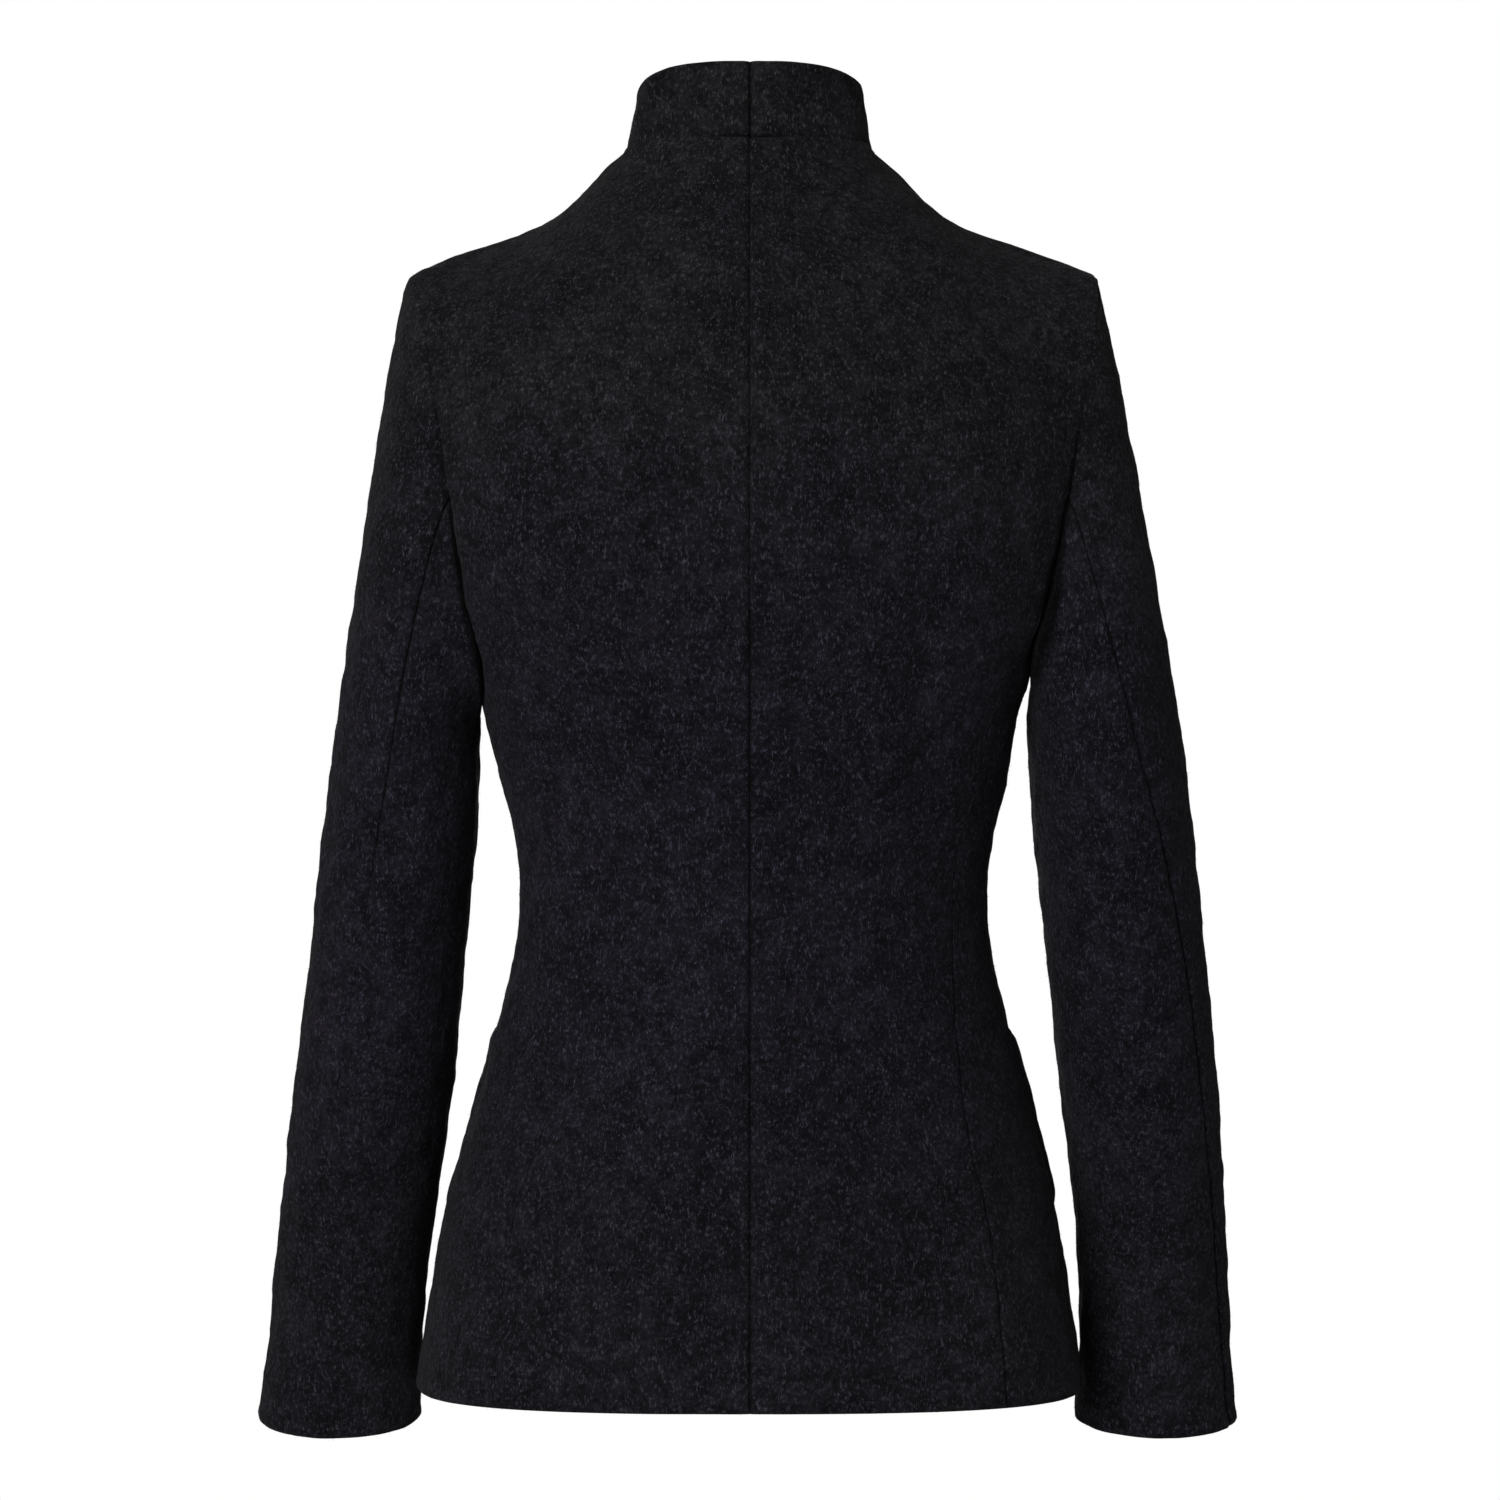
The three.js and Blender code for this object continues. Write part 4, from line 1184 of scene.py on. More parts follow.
    def _painted_shade(self, base: Array) -> Array:
        """The shade painted on every point along seams and armholes, and over the whole piece, for the finish
        to darken.
        """
        deep = np.full(self.ways[0].shape, self.shade_all_over)
        for edge, way, sharp, line in zip(self.edges(), self.ways, self.sharpness, self._edge_lines(base)):
            if edge is Edge.ARMHOLE:
                deep = np.maximum(deep, self._armhole_darkness(line, way))
            elif edge is Edge.SEAM:
                deep = np.maximum(deep, sharp * bump(way, 0, self.shape.seam_shade_width))
        return np.minimum(deep, DEEPEST_SEAM_SHADE)

    def _armhole_darkness(self, line: Array, way: Array) -> Array:
        """The painted shade along an armhole, which widens under the arm where sleeve and body shade each
        other.
        """
        return self.armhole.at(line[..., 2]) * bump(way, 0, self.armhole_shade.at(line[..., 2]))

    def _tuck(self, base: Array) -> None:
        """Turns the sewn edges in, under the piece that they are sewn to."""
        whole = slice(None)
        rims = (
            ((0, whole), (1, whole)),
            ((-1, whole), (-2, whole)),
            ((whole, 0), (whole, 1)),
            ((whole, -1), (whole, -2)),
        )
        sunk = np.zeros(base.shape)
        deepest = np.zeros((*base.shape[:-1], 1))
        for edge, (at, near), sharp in zip(self.edges(), rims, self.sharpness):
            if edge is Edge.FOLD:
                continue
            self.outer[at] += unit(base[at] - base[near]) * self.shape.tuck_over
            depth = self.shape.tuck_in * np.clip(sharp.reshape(-1, 1), self.shape.least_tuck, 1)
            sink = self._armhole_out(base[at]) if edge is Edge.ARMHOLE else self.out[at]
            sunk[at] = np.where(depth > deepest[at], sink * depth, sunk[at])
            deepest[at] = np.maximum(deepest[at], depth)
        self.outer -= sunk

    def _fit(self, shares: Array, widest: float, width: float) -> Array:
        """The places of the widest row, fitted to a narrower one with the steps at both ends kept."""
        half = widest / 2
        near = np.minimum(shares, widest - shares)
        keep = min(self.shape.steps[-1], self.shape.steps_share * width)
        squeezed = keep + (near - keep) * (width / 2 - keep) / max(half - keep, 1e-6)
        fitted = np.where(near <= keep, near, squeezed)
        return np.where(shares <= half, fitted, width - fitted)

    def _outward(self, u: Array, v: Array) -> Array:
        """The outward directions, upright through a shoulder seam."""
        limits = (self.columns, self.rows)
        ends = np.isclose(u, 0) | np.isclose(u, self.columns)
        inside = np.clip(u, self.end_inset * self.columns, (1 - self.end_inset) * self.columns)
        at_end = outward(self.surface, limits, inside, v, self.sign)
        out = np.where(ends[..., None], at_end, outward(self.surface, limits, u, v, self.sign))
        if self.flat_shoulder:
            near = smooth_step(self.rows - self.shoulder_band, self.rows, v)
            last = near * (u >= self.columns - SHOULDER_COLUMNS)
            out[..., 1] *= 1 - last
        return unit(out)

    def _thickness(self) -> Array:
        """The thickness all over, with the turned hems and facings laid on the inside."""
        total = np.full(self.ways[0].shape, self.thickness)
        extra = np.zeros_like(total)
        for way, depth in zip(self.ways, self.turned):
            if depth:
                single = smooth_step(depth - self.turned_soft, depth + self.turned_soft, way)
                extra = np.maximum(extra, 1 - single)
        return total + extra * self.turned_extra

    def _closing(self) -> Array:
        """The share of half the thickness that is left near the folded edges."""
        left = np.ones(self.ways[0].shape)
        for edge, way in zip(self.edges(), self.ways):
            left = np.minimum(left, self.shape.close(edge, way, self._thickness()))
        return left

    def _rounded(self, outer: Array) -> Array:
        """The outer face, bent in where a fold closes."""
        half = self._thickness() / 2
        return outer - self.out * (half * (1 - self._closing()))[..., None]

    def _inner(self) -> Array:
        """The inner face."""
        return self.outer - self.out * (self._thickness() * self._closing())[..., None]

    def _faces(self) -> Array:
        """The faces of both sides and of the rim, turned outward."""
        nu, nv = self.outer.shape[:2]
        at = np.arange(nu * nv).reshape(nu, nv)
        far = at + nu * nv
        sides = [
            np.stack((at[:-1, :-1], at[1:, :-1], at[1:, 1:], at[:-1, 1:]), -1),
            np.stack((far[:-1, :-1], far[:-1, 1:], far[1:, 1:], far[1:, :-1]), -1),
        ]
        rims = [
            np.stack((at[:-1, 0], far[:-1, 0], far[1:, 0], at[1:, 0]), -1),
            np.stack((at[:-1, -1], at[1:, -1], far[1:, -1], far[:-1, -1]), -1),
            np.stack((at[0, :-1], at[0, 1:], far[0, 1:], far[0, :-1]), -1),
            np.stack((at[-1, :-1], far[-1, :-1], far[-1, 1:], at[-1, 1:]), -1),
        ]
        faces = np.concatenate([part.reshape(-1, 4) for part in sides + rims])
        return faces if self.sign > 0 else faces[:, ::-1]


# ---------------------------------------------------------------- finishes


class Noise(NamedTuple):
    """A noise pattern: its scale over metres, its detail and its roughness."""

    scale: float
    detail: float = 2.0
    rough: float = 0.6


NOISE_MIDDLE = (0.3, 0.7)  # most of a noise lies between these


class NodeTree:
    """A small helper that adds and joins shader nodes."""

    def __init__(self, tree: bpy.types.NodeTree) -> None:
        """Keeps the tree."""
        self.tree = tree

    def add(self, kind: str, **values: object) -> bpy.types.Node:
        """A new node of a kind, with its properties set."""
        node = self.tree.nodes.new(kind)
        for name, value in values.items():
            setattr(node, name, value)
        return node

    def join(self, source: Socket, target: Socket) -> None:
        """Joins an output to an input."""
        self.tree.links.new(source, target)

    def feed(self, socket: Socket, value: object) -> None:
        """Gives an input a constant, or joins an output to it."""
        if isinstance(value, bpy.types.NodeSocket):
            self.join(value, socket)
        else:
            socket.default_value = value

    def place(self) -> Socket:
        """The place on the object, in metres."""
        return self.add("ShaderNodeTexCoord").outputs["Object"]

    def noise(self, place: Socket, noise: Noise) -> Socket:
        """A noise pattern, from 0 to 1."""
        node = self.add("ShaderNodeTexNoise", noise_dimensions="3D")
        self.join(place, node.inputs["Vector"])
        for name, value in zip(("Scale", "Detail", "Roughness"), noise):
            node.inputs[name].default_value = value
        return node.outputs["Fac"]

    def stretch(self, place: Socket, scale: Point, turn: float) -> Socket:
        """The place turned about the depth axis and stretched, which makes a pattern run one way."""
        node = self.add("ShaderNodeMapping", vector_type="POINT")
        self.join(place, node.inputs["Vector"])
        node.inputs["Rotation"].default_value = (0, turn, 0)
        node.inputs["Scale"].default_value = scale
        return node.outputs["Vector"]

    def rescale(self, value: Socket, low: float, high: float, to: tuple[float, float] = (0.0, 1.0)) -> Socket:
        """The value taken from low and high to two others, smoothly and within them."""
        node = self.add("ShaderNodeMapRange", interpolation_type="SMOOTHSTEP")
        self.join(value, node.inputs["Value"])
        for name, limit in zip(("From Min", "From Max", "To Min", "To Max"), (low, high, *to)):
            node.inputs[name].default_value = limit
        return node.outputs["Result"]

    def maths(self, operation: str, a: Socket | float, b: Socket | float) -> Socket:
        """A sum, product or other operation of two values or sockets."""
        node = self.add("ShaderNodeMath", operation=operation)
        for socket, value in zip(node.inputs, (a, b)):
            self.feed(socket, value)
        return node.outputs[0]

    def times(self, a: Socket | float, b: Socket | float) -> Socket:
        """A product."""
        return self.maths("MULTIPLY", a, b)

    def blend(self, share: Socket, a: Socket | Colour, b: Socket | Colour) -> Socket:
        """A mixture of two colours or colour sockets."""
        node = self.add("ShaderNodeMix", data_type="RGBA")
        self.join(share, node.inputs["Factor"])
        colours = [socket for socket in node.inputs if socket.type == "RGBA"]
        for socket, value in zip(colours, (a, b)):
            self.feed(socket, value)
        return next(socket for socket in node.outputs if socket.type == "RGBA")

    def bump(self, height: Socket, depth: float, strength: float = 1.0) -> Socket:
        """The normal over a height pattern of this depth, in metres."""
        node = self.add("ShaderNodeBump")
        node.inputs["Strength"].default_value = strength
        node.inputs["Distance"].default_value = depth
        self.join(height, node.inputs["Height"])
        return node.outputs["Normal"]


@dataclass(frozen=True)
class WoolPattern:
    """The melange of felted wool: dark ground, lighter fibres and tufts, an uneven nap, painted shade along
    the seams and a painted light tint towards the shoulders and the hem.
    """

    group_name: str = "felted_wool"
    strands: tuple[tuple[float, float], ...] = ((0.15, 1050.0), (1.0, 1150.0), (1.75, 1100.0), (2.6, 1000.0))
    strand_detail: float = 1.5
    strand_stretch: Point = (1.0, 1.0, 0.28)
    tufts: Noise = Noise(420.0, rough=0.65)
    lumps: Noise = Noise(210.0, rough=0.55)
    clouds: Noise = Noise(95.0)
    drift: Noise = Noise(16.0, rough=0.5)
    # the hue that painted light gives the wool towards the shoulders and the hem, in place of the dye's
    painted_light_tint: Colour = (1.0, 0.98, 1.06, 1.0)
    shoulder_tint_heights: tuple[float, float] = (-0.33, -0.1)  # heights between which the painted light tint grows, in metres
    hem_tint_heights: tuple[float, float] = (-0.62, -0.46)
    hem_tint_share: float = 0.55
    tint_drift: tuple[float, float] = (0.25, 0.6)
    tint_range: tuple[float, float] = (0.6, 1.0)
    cloud_range: tuple[float, float] = (0.32, 0.68)
    drift_tone: tuple[float, float] = (0.78, 1.2)
    tuft_tone: tuple[float, float] = (0.66, 1.34)
    seam_shadow: float = 0.12  # the share of the colour left where the painted seam shade is deepest
    strand_weight: float = 0.71
    tuft_weight: float = 0.29
    fleck_range: tuple[float, float] = (0.575, 0.74)
    fleck_polish: float = 0.12
    lump_height: float = 0.9
    tuft_height: float = 0.55
    strand_height: float = 0.4

    def group(self) -> bpy.types.ShaderNodeTree:
        """The shader node group, built once."""
        ready = bpy.data.node_groups.get(self.group_name)
        if ready:
            return ready
        tree = bpy.data.node_groups.new(self.group_name, "ShaderNodeTree")
        for way, kind, names in (
            ("INPUT", "NodeSocketColor", ("Ground", "Dye", "Shade", "Fibre")),
            ("INPUT", "NodeSocketFloat", ("Fleck Share", "Roughness", "Seam")),
            ("OUTPUT", "NodeSocketColor", ("Color",)),
            ("OUTPUT", "NodeSocketFloat", ("Roughness", "Height")),
        ):
            for name in names:
                tree.interface.new_socket(name=name, in_out=way, socket_type=kind)
        self._fill(NodeTree(tree))
        return tree

    def _fill(self, nodes: NodeTree) -> None:
        """Lays out the pattern's nodes."""
        given = nodes.add("NodeGroupInput").outputs
        result = nodes.add("NodeGroupOutput").inputs
        place = nodes.place()

        # Strands lie in several directions, each with a turn and a scale of its own.
        fibres = None
        for turn, scale in self.strands:
            way = nodes.stretch(place, self.strand_stretch, turn)
            strands = nodes.noise(way, Noise(scale, self.strand_detail))
            fibres = strands if fibres is None else nodes.maths("MAXIMUM", fibres, strands)
        tufts = nodes.noise(place, self.tufts)
        drift = nodes.noise(place, self.drift)

        # The ground is paler and darker in clouds, and painted darker with shade in the seams.
        clouds = nodes.rescale(nodes.noise(place, self.clouds), *self.cloud_range)
        tone = nodes.times(
            nodes.rescale(drift, *NOISE_MIDDLE, self.drift_tone),
            nodes.rescale(tufts, *NOISE_MIDDLE, self.tuft_tone),
        )
        shadow = nodes.rescale(given["Seam"], 0.0, DEEPEST_SEAM_SHADE, (1.0, self.seam_shadow))
        toned = nodes.add("ShaderNodeVectorMath", operation="SCALE")
        nodes.join(nodes.blend(clouds, given["Shade"], given["Ground"]), toned.inputs[0])
        nodes.join(nodes.times(tone, shadow), toned.inputs["Scale"])

        # Light fibres show where the strands and the tufts are both high.
        weighed = nodes.times(fibres, self.strand_weight), nodes.times(tufts, self.tuft_weight)
        flecks = nodes.rescale(nodes.maths("ADD", *weighed), *self.fleck_range)
        share = nodes.times(nodes.times(flecks, given["Fleck Share"]), shadow)
        dyed = nodes.add("ShaderNodeVectorMath", operation="MULTIPLY")
        nodes.join(nodes.blend(share, toned.outputs[0], given["Fibre"]), dyed.inputs[0])
        # The painted light tint takes the place of the dye's hue towards the shoulders and the hem.
        fading = self._painted_tint_share(nodes, place, drift)
        nodes.join(nodes.blend(fading, given["Dye"], self.painted_light_tint), dyed.inputs[1])
        nodes.join(dyed.outputs[0], result["Color"])
        polish = nodes.times(flecks, self.fleck_polish)
        nodes.join(nodes.maths("SUBTRACT", given["Roughness"], polish), result["Roughness"])

        # The nap is raised by lumps, tufts and strands.
        lumps = nodes.times(nodes.noise(place, self.lumps), self.lump_height)
        nap = nodes.maths("ADD", lumps, nodes.times(tufts, self.tuft_height))
        nodes.join(nodes.maths("ADD", nap, nodes.times(fibres, self.strand_height)), result["Height"])

    def _painted_tint_share(self, nodes: NodeTree, place: Socket, drift: Socket) -> Socket:
        """How much painted light tint takes the place of the dye's hue: towards the shoulders, and a little
        towards the hem, in uneven clouds.
        """
        parts = nodes.add("ShaderNodeSeparateXYZ")
        nodes.join(place, parts.inputs[0])
        height = parts.outputs["Z"]
        high = nodes.rescale(height, *self.shoulder_tint_heights)
        low = nodes.rescale(height, *self.hem_tint_heights, (self.hem_tint_share, 0.0))
        uneven = nodes.rescale(drift, *self.tint_drift, self.tint_range)
        return nodes.times(nodes.maths("ADD", high, low), uneven)


class Finish:
    """A finish that makes its material once, whatever the number of pieces that have it."""

    name: str

    def material(self) -> bpy.types.Material:
        """The material, made at the first call."""
        ready = bpy.data.materials.get(self.name)
        if ready:
            return ready
        material = bpy.data.materials.new(self.name)
        material.use_nodes = True
        self._fill(NodeTree(material.node_tree), material.node_tree.nodes["Principled BSDF"].inputs)
        return material

    def _fill(self, nodes: NodeTree, shader: bpy.types.NodeInputs) -> None:
        """Lays out the material's nodes before the shader's inputs."""
        raise NotImplementedError


@dataclass(frozen=True)
class WoolFinish(Finish):
    """A finish of felted wool, with its colours in linear light."""

    name: str = "charcoal_felt"
    ground: Colour = (0.0100, 0.0098, 0.0110, 1)
    dye: Colour = (0.99, 0.93, 1.25, 1)
    shade: Colour = (0.0044, 0.0043, 0.0050, 1)
    fibre: Colour = (0.078, 0.0765, 0.086, 1)
    fleck_share: float = 0.6
    roughness: float = 0.95
    specular: float = 0.08
    nap_depth: float = 0.0011
    nap_strength: float = 0.9
    sheen: float = 0.025
    sheen_roughness: float = 0.55
    sheen_tint: Colour = (0.75, 0.72, 0.76, 1)

    def _fill(self, nodes: NodeTree, shader: bpy.types.NodeInputs) -> None:
        """Lays out the wool's pattern, nap and sheen."""
        pattern = nodes.add("ShaderNodeGroup", node_tree=WoolPattern().group())
        # The painted seam shade, which the cloth's attribute holds.
        seam = nodes.add("ShaderNodeAttribute", attribute_name=SEAM_SHADE_ATTRIBUTE)
        for name, value in (
            ("Ground", self.ground),
            ("Dye", self.dye),
            ("Shade", self.shade),
            ("Fibre", self.fibre),
            ("Fleck Share", self.fleck_share),
            ("Roughness", self.roughness),
            ("Seam", seam.outputs["Fac"]),
        ):
            nodes.feed(pattern.inputs[name], value)
        for name, value in (
            ("Base Color", pattern.outputs["Color"]),
            ("Roughness", pattern.outputs["Roughness"]),
            ("Normal", nodes.bump(pattern.outputs["Height"], self.nap_depth, self.nap_strength)),
            ("Specular IOR Level", self.specular),
            ("Sheen Weight", self.sheen),
            ("Sheen Roughness", self.sheen_roughness),
            ("Sheen Tint", self.sheen_tint),
        ):
            nodes.feed(shader[name], value)


@dataclass(frozen=True)
class HornFinish(Finish):
    """A finish of dark horn, with paler streaks and a soft polish."""

    name: str = "dark_horn"
    ground: Colour = (0.012, 0.010, 0.009, 1)
    streak: Colour = (0.055, 0.040, 0.030, 1)
    grain: Noise = Noise(620.0, 3.0, 0.55)
    grain_stretch: Point = (1.0, 1.0, 0.22)
    grain_turn: float = 0.5
    clouds: Noise = Noise(130.0, rough=0.5)
    streak_range: tuple[float, float] = (0.2, 0.42)
    scuffs: Noise = Noise(2400.0)
    scuff_range: tuple[float, float] = (0.35, 0.75)
    roughness: tuple[float, float] = (0.26, 0.48)
    skin_depth: float = 0.0001
    skin_strength: float = 0.25

    def _fill(self, nodes: NodeTree, shader: bpy.types.NodeInputs) -> None:
        """Lays out the horn's grain, clouds and scuffs."""
        place = nodes.place()
        grain = nodes.noise(nodes.stretch(place, self.grain_stretch, self.grain_turn), self.grain)
        streaks = nodes.rescale(nodes.times(grain, nodes.noise(place, self.clouds)), *self.streak_range)
        scuffs = nodes.noise(place, self.scuffs)
        nodes.join(nodes.blend(streaks, self.ground, self.streak), shader["Base Color"])
        nodes.join(nodes.rescale(scuffs, *self.scuff_range, self.roughness), shader["Roughness"])
        nodes.join(nodes.bump(scuffs, self.skin_depth, self.skin_strength), shader["Normal"])


@dataclass(frozen=True)
class ThreadFinish(Finish):
    """A finish of twisted sewing thread."""

    name: str = "black_thread"
    ground: Colour = (0.016, 0.015, 0.017, 1)
    light: Colour = (0.05, 0.048, 0.052, 1)
    roughness: float = 0.6
    twist_scale: float = 900.0
    twist_distortion: float = 1.5
    ply_depth: float = 0.0002

    def _fill(self, nodes: NodeTree, shader: bpy.types.NodeInputs) -> None:
        """Lays out the thread's twist."""
        twist = nodes.add("ShaderNodeTexWave", wave_type="BANDS", bands_direction="DIAGONAL")
        nodes.join(nodes.place(), twist.inputs["Vector"])
        twist.inputs["Scale"].default_value = self.twist_scale
        twist.inputs["Distortion"].default_value = self.twist_distortion
        nodes.join(nodes.blend(twist.outputs["Fac"], self.ground, self.light), shader["Base Color"])
        nodes.join(nodes.bump(twist.outputs["Fac"], self.ply_depth), shader["Normal"])
        shader["Roughness"].default_value = self.roughness


# ---------------------------------------------------------------- the garment


@contextmanager
def editing() -> Iterator[None]:
    """Edit mode, for the active object."""
    bpy.ops.object.mode_set(mode="EDIT")
    yield
    bpy.ops.object.mode_set(mode="OBJECT")


def round_off(piece: bpy.types.Object, width: float, segments: int, angle: float) -> None:
    """Rounds the active piece's edges that are sharper than an angle in degrees, by a width in metres."""
    edges = piece.modifiers.new("edges", "BEVEL")
    edges.width = width
    edges.segments = segments
    edges.limit_method = "ANGLE"
    edges.angle_limit = math.radians(angle)
    bpy.ops.object.modifier_apply(modifier=edges.name)


def dress(piece: bpy.types.Object, material: bpy.types.Material) -> None:
    """Gives a piece its only material and its slot, and lets it ride on the part."""
    piece.data.materials.clear()
    piece.data.materials.append(material)
    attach(piece, "root")


@dataclass
class Nap:
    """Loose fibres that stand off the felt: closed spikes of three sides."""

    density: float = 0.07  # fibres a square millimetre
    shortest: float = 1.0
    longest: float = 2.6
    width: float = 0.13
    least_width: float = 0.7  # the share of the width that the thinnest have
    width_spread: float = 0.6  # and how much more the thickest have
    stand: float = 0.55  # how much they stand up, over a wander of length 1
    least_stand: float = 0.3  # added to a chance from 0 to 1
    fall: float = 0.35  # how much they hang down
    root: float = 0.25  # how deep they start in the cloth
    back: float = 1.6  # how far the third corner of a foot stands back, over its half width
    tip_lift: float = 0.1

    def build(self, cloth: ClothPiece) -> bpy.types.Object:
        """Scatters the fibres over a piece's outer face.

        Args:
            cloth: the piece, which is built.

        Returns:
            One object with all the piece's fibres.
        """
        chance = np.random.default_rng(SEED + sum(cloth.name.encode()))
        grid, out = cloth.outer, cloth.out
        a, b, c = grid[:-1, :-1], grid[1:, :-1], grid[:-1, 1:]
        weight = np.linalg.norm(np.cross(b - a, c - a), axis=-1).ravel()
        count = int(weight.sum() * self.density)
        cell = chance.choice(weight.size, count, p=weight / weight.sum())
        s, t = chance.random((2, count, 1))
        a, b, c = (part.reshape(-1, 3)[cell] for part in (a, b, c))
        roots = a + (b - a) * s + (c - a) * t
        normal = out[:-1, :-1].reshape(-1, 3)[cell]
        wander = np.cross(normal, unit(chance.normal(size=(count, 3))))
        wander[:, 2] -= self.fall
        stand = self.stand * (self.least_stand + chance.random((count, 1)))
        way = unit(wander + normal * stand)
        long = mix(self.shortest, self.longest, chance.random((count, 1)) ** 2)
        across = unit(np.cross(way, normal))
        up = np.cross(across, way)
        half = self.width / 2 * (self.least_width + self.width_spread * chance.random((count, 1)))
        foot = roots - normal * self.root
        third, tip = foot + up * half * self.back, foot + way * long + normal * self.tip_lift
        corners = np.stack((foot + across * half, foot - across * half, third, tip), axis=1)
        base = 4 * np.arange(count)[:, None]
        faces = np.concatenate([base + np.array(f) for f in ((0, 1, 2), (0, 3, 1), (1, 3, 2), (2, 3, 0))])
        return link(f"nap_{cloth.name}", corners.reshape(-1, 3) * MM, faces)


@dataclass
class Jacket:
    """All the cloth of the jacket."""

    finish: WoolFinish = field(default_factory=WoolFinish)
    nap: Nap = field(default_factory=Nap)
    hem_turn: float = 36.0
    cuff_turn: float = 32.0
    facing: float = 46.0  # how deep the fronts are turned in
    centre_seam: Show = Show(1.05, 1.35, -400, -150)
    collar_seam: Show = Show.evenly(1.5)
    collar_depth: float = 0.3  # how much shade is painted over the collar
    sleeve_shade: float = 2.2  # how much wider the armhole's painted shade is on the sleeve

    def pieces(self) -> list[ClothPiece]:
        """The pieces that are cut and sewn, for both sides."""
        cut: list[ClothPiece] = []
        for side in SIDES:
            cut += self._body(side) + self._arm(side)
            cut.append(
                ClothPiece(
                    f"collar_{side.name}", CollarBand(side), CollarBand.columns, COLLAR_ROWS, -side.sign,
                    end=Edge.FOLD, foot=Edge.SEAM, head=Edge.FOLD, fading=2, shade_all_over=self.collar_depth,
                    shows=(self.collar_seam, Show(), Show(), Show()),
                )
            )
            cut.append(Welt(side).cloth())
        return cut

    def _body(self, side: Side) -> list[ClothPiece]:
        """The back, side panel and front of one side."""
        hem, plain = self.hem_turn, Show()
        front = Front(side) if side is LEFT else LappedFront(side)
        common = {"creases": BODY_CREASES, "armhole": side.armhole, "armhole_shade": side.armhole_shade}
        return [
            ClothPiece(
                f"back_{side.name}", Pressed(Back(side)), Back.columns, ROWS, -side.sign,
                shows=(self.centre_seam, side.side_seam, plain, plain), fading=3, turned=(0, 0, hem, 0),
                flat_shoulder=True, armhole_from=LOWER_ROWS, **common,
            ),
            ClothPiece(
                f"side_{side.name}", SidePanel(side), SIDE_COLUMNS, LOWER_ROWS, -side.sign,
                head=Edge.ARMHOLE, shows=(side.side_seam, plain, plain, plain), turned=(0, 0, hem, 0),
                shade_all_over=side.side_depth, **common,
            ),
            ClothPiece(
                f"front_{side.name}", front, Front.columns, ROWS, side.sign,
                start=Edge.FOLD, turned=(self.facing, 0, hem, 0),
                flat_shoulder=True, armhole_from=LOWER_ROWS, **common,
            ),
        ]

    def _arm(self, side: Side) -> list[ClothPiece]:
        """The top and under sleeve of one arm."""
        sleeve = Sleeve(side)
        plain, seam = Show(), side.sleeve_seam
        halves = (("top", sleeve.top_piece, (plain, seam)), ("under", sleeve.under_piece, (seam, plain)))
        return [
            ClothPiece(
                f"sleeve_{name}_{side.name}", surface, 1, Sleeve.rows, -side.sign,
                foot=Edge.ARMHOLE, head=Edge.FOLD, shows=(*seams, plain, plain),
                armhole=side.armhole, armhole_shade=side.armhole_shade.times(self.sleeve_shade),
                turned=(0, 0, 0, self.cuff_turn), creases=ARM_CREASES,
            )
            for name, surface, seams in halves
        ]

    def build(self) -> None:
        """Models and dresses every piece of cloth, with its nap."""
        for cloth in self.pieces():
            piece = cloth.build()
            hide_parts(cloth.name)
            fibres = self.nap.build(cloth)
            for part in (piece, fibres):
                dress(part, self.finish.material())
            LOG.info("%s: %d faces", cloth.name, len(piece.data.polygons))


@dataclass
class Welt:
    """A pocket welt, which is sewn on a side panel next to its front seam."""

    side: Side
    top_z: float = -475.0
    foot_z: float = -570.0
    top_turn: float = 82.0
    foot_turn: float = 90.0
    width: float = 26.0
    thickness: float = 2.2
    gap: float = 0.3
    spacing: float = 2.5
    start_seam: Show = Show.evenly(0.2)
    columns: int = 5
    rows: int = 6

    def surface(self, u: Array, v: Array) -> Array:
        """The torso's face under the welt."""
        u, v = floats(u, v)
        z = mix(self.foot_z, self.top_z, v / self.rows)
        start = np.radians(mix(self.foot_turn, self.top_turn, v / self.rows))
        return Torso.point(self.side, start + (u / self.columns) * self.width / Torso.front(z), z)

    def cloth(self) -> ClothPiece:
        """The welt's cloth, sewn at its start and folded at its other edges."""
        return ClothPiece(
            f"welt_{self.side.name}", self.surface, self.columns, self.rows, -self.side.sign,
            end=Edge.FOLD, head=Edge.FOLD, thickness=self.thickness, spacing=self.spacing,
            shows=(self.start_seam, Show(), Show(), Show()),
            lift=self.side.welt_share * (self.gap + self.thickness),
        )


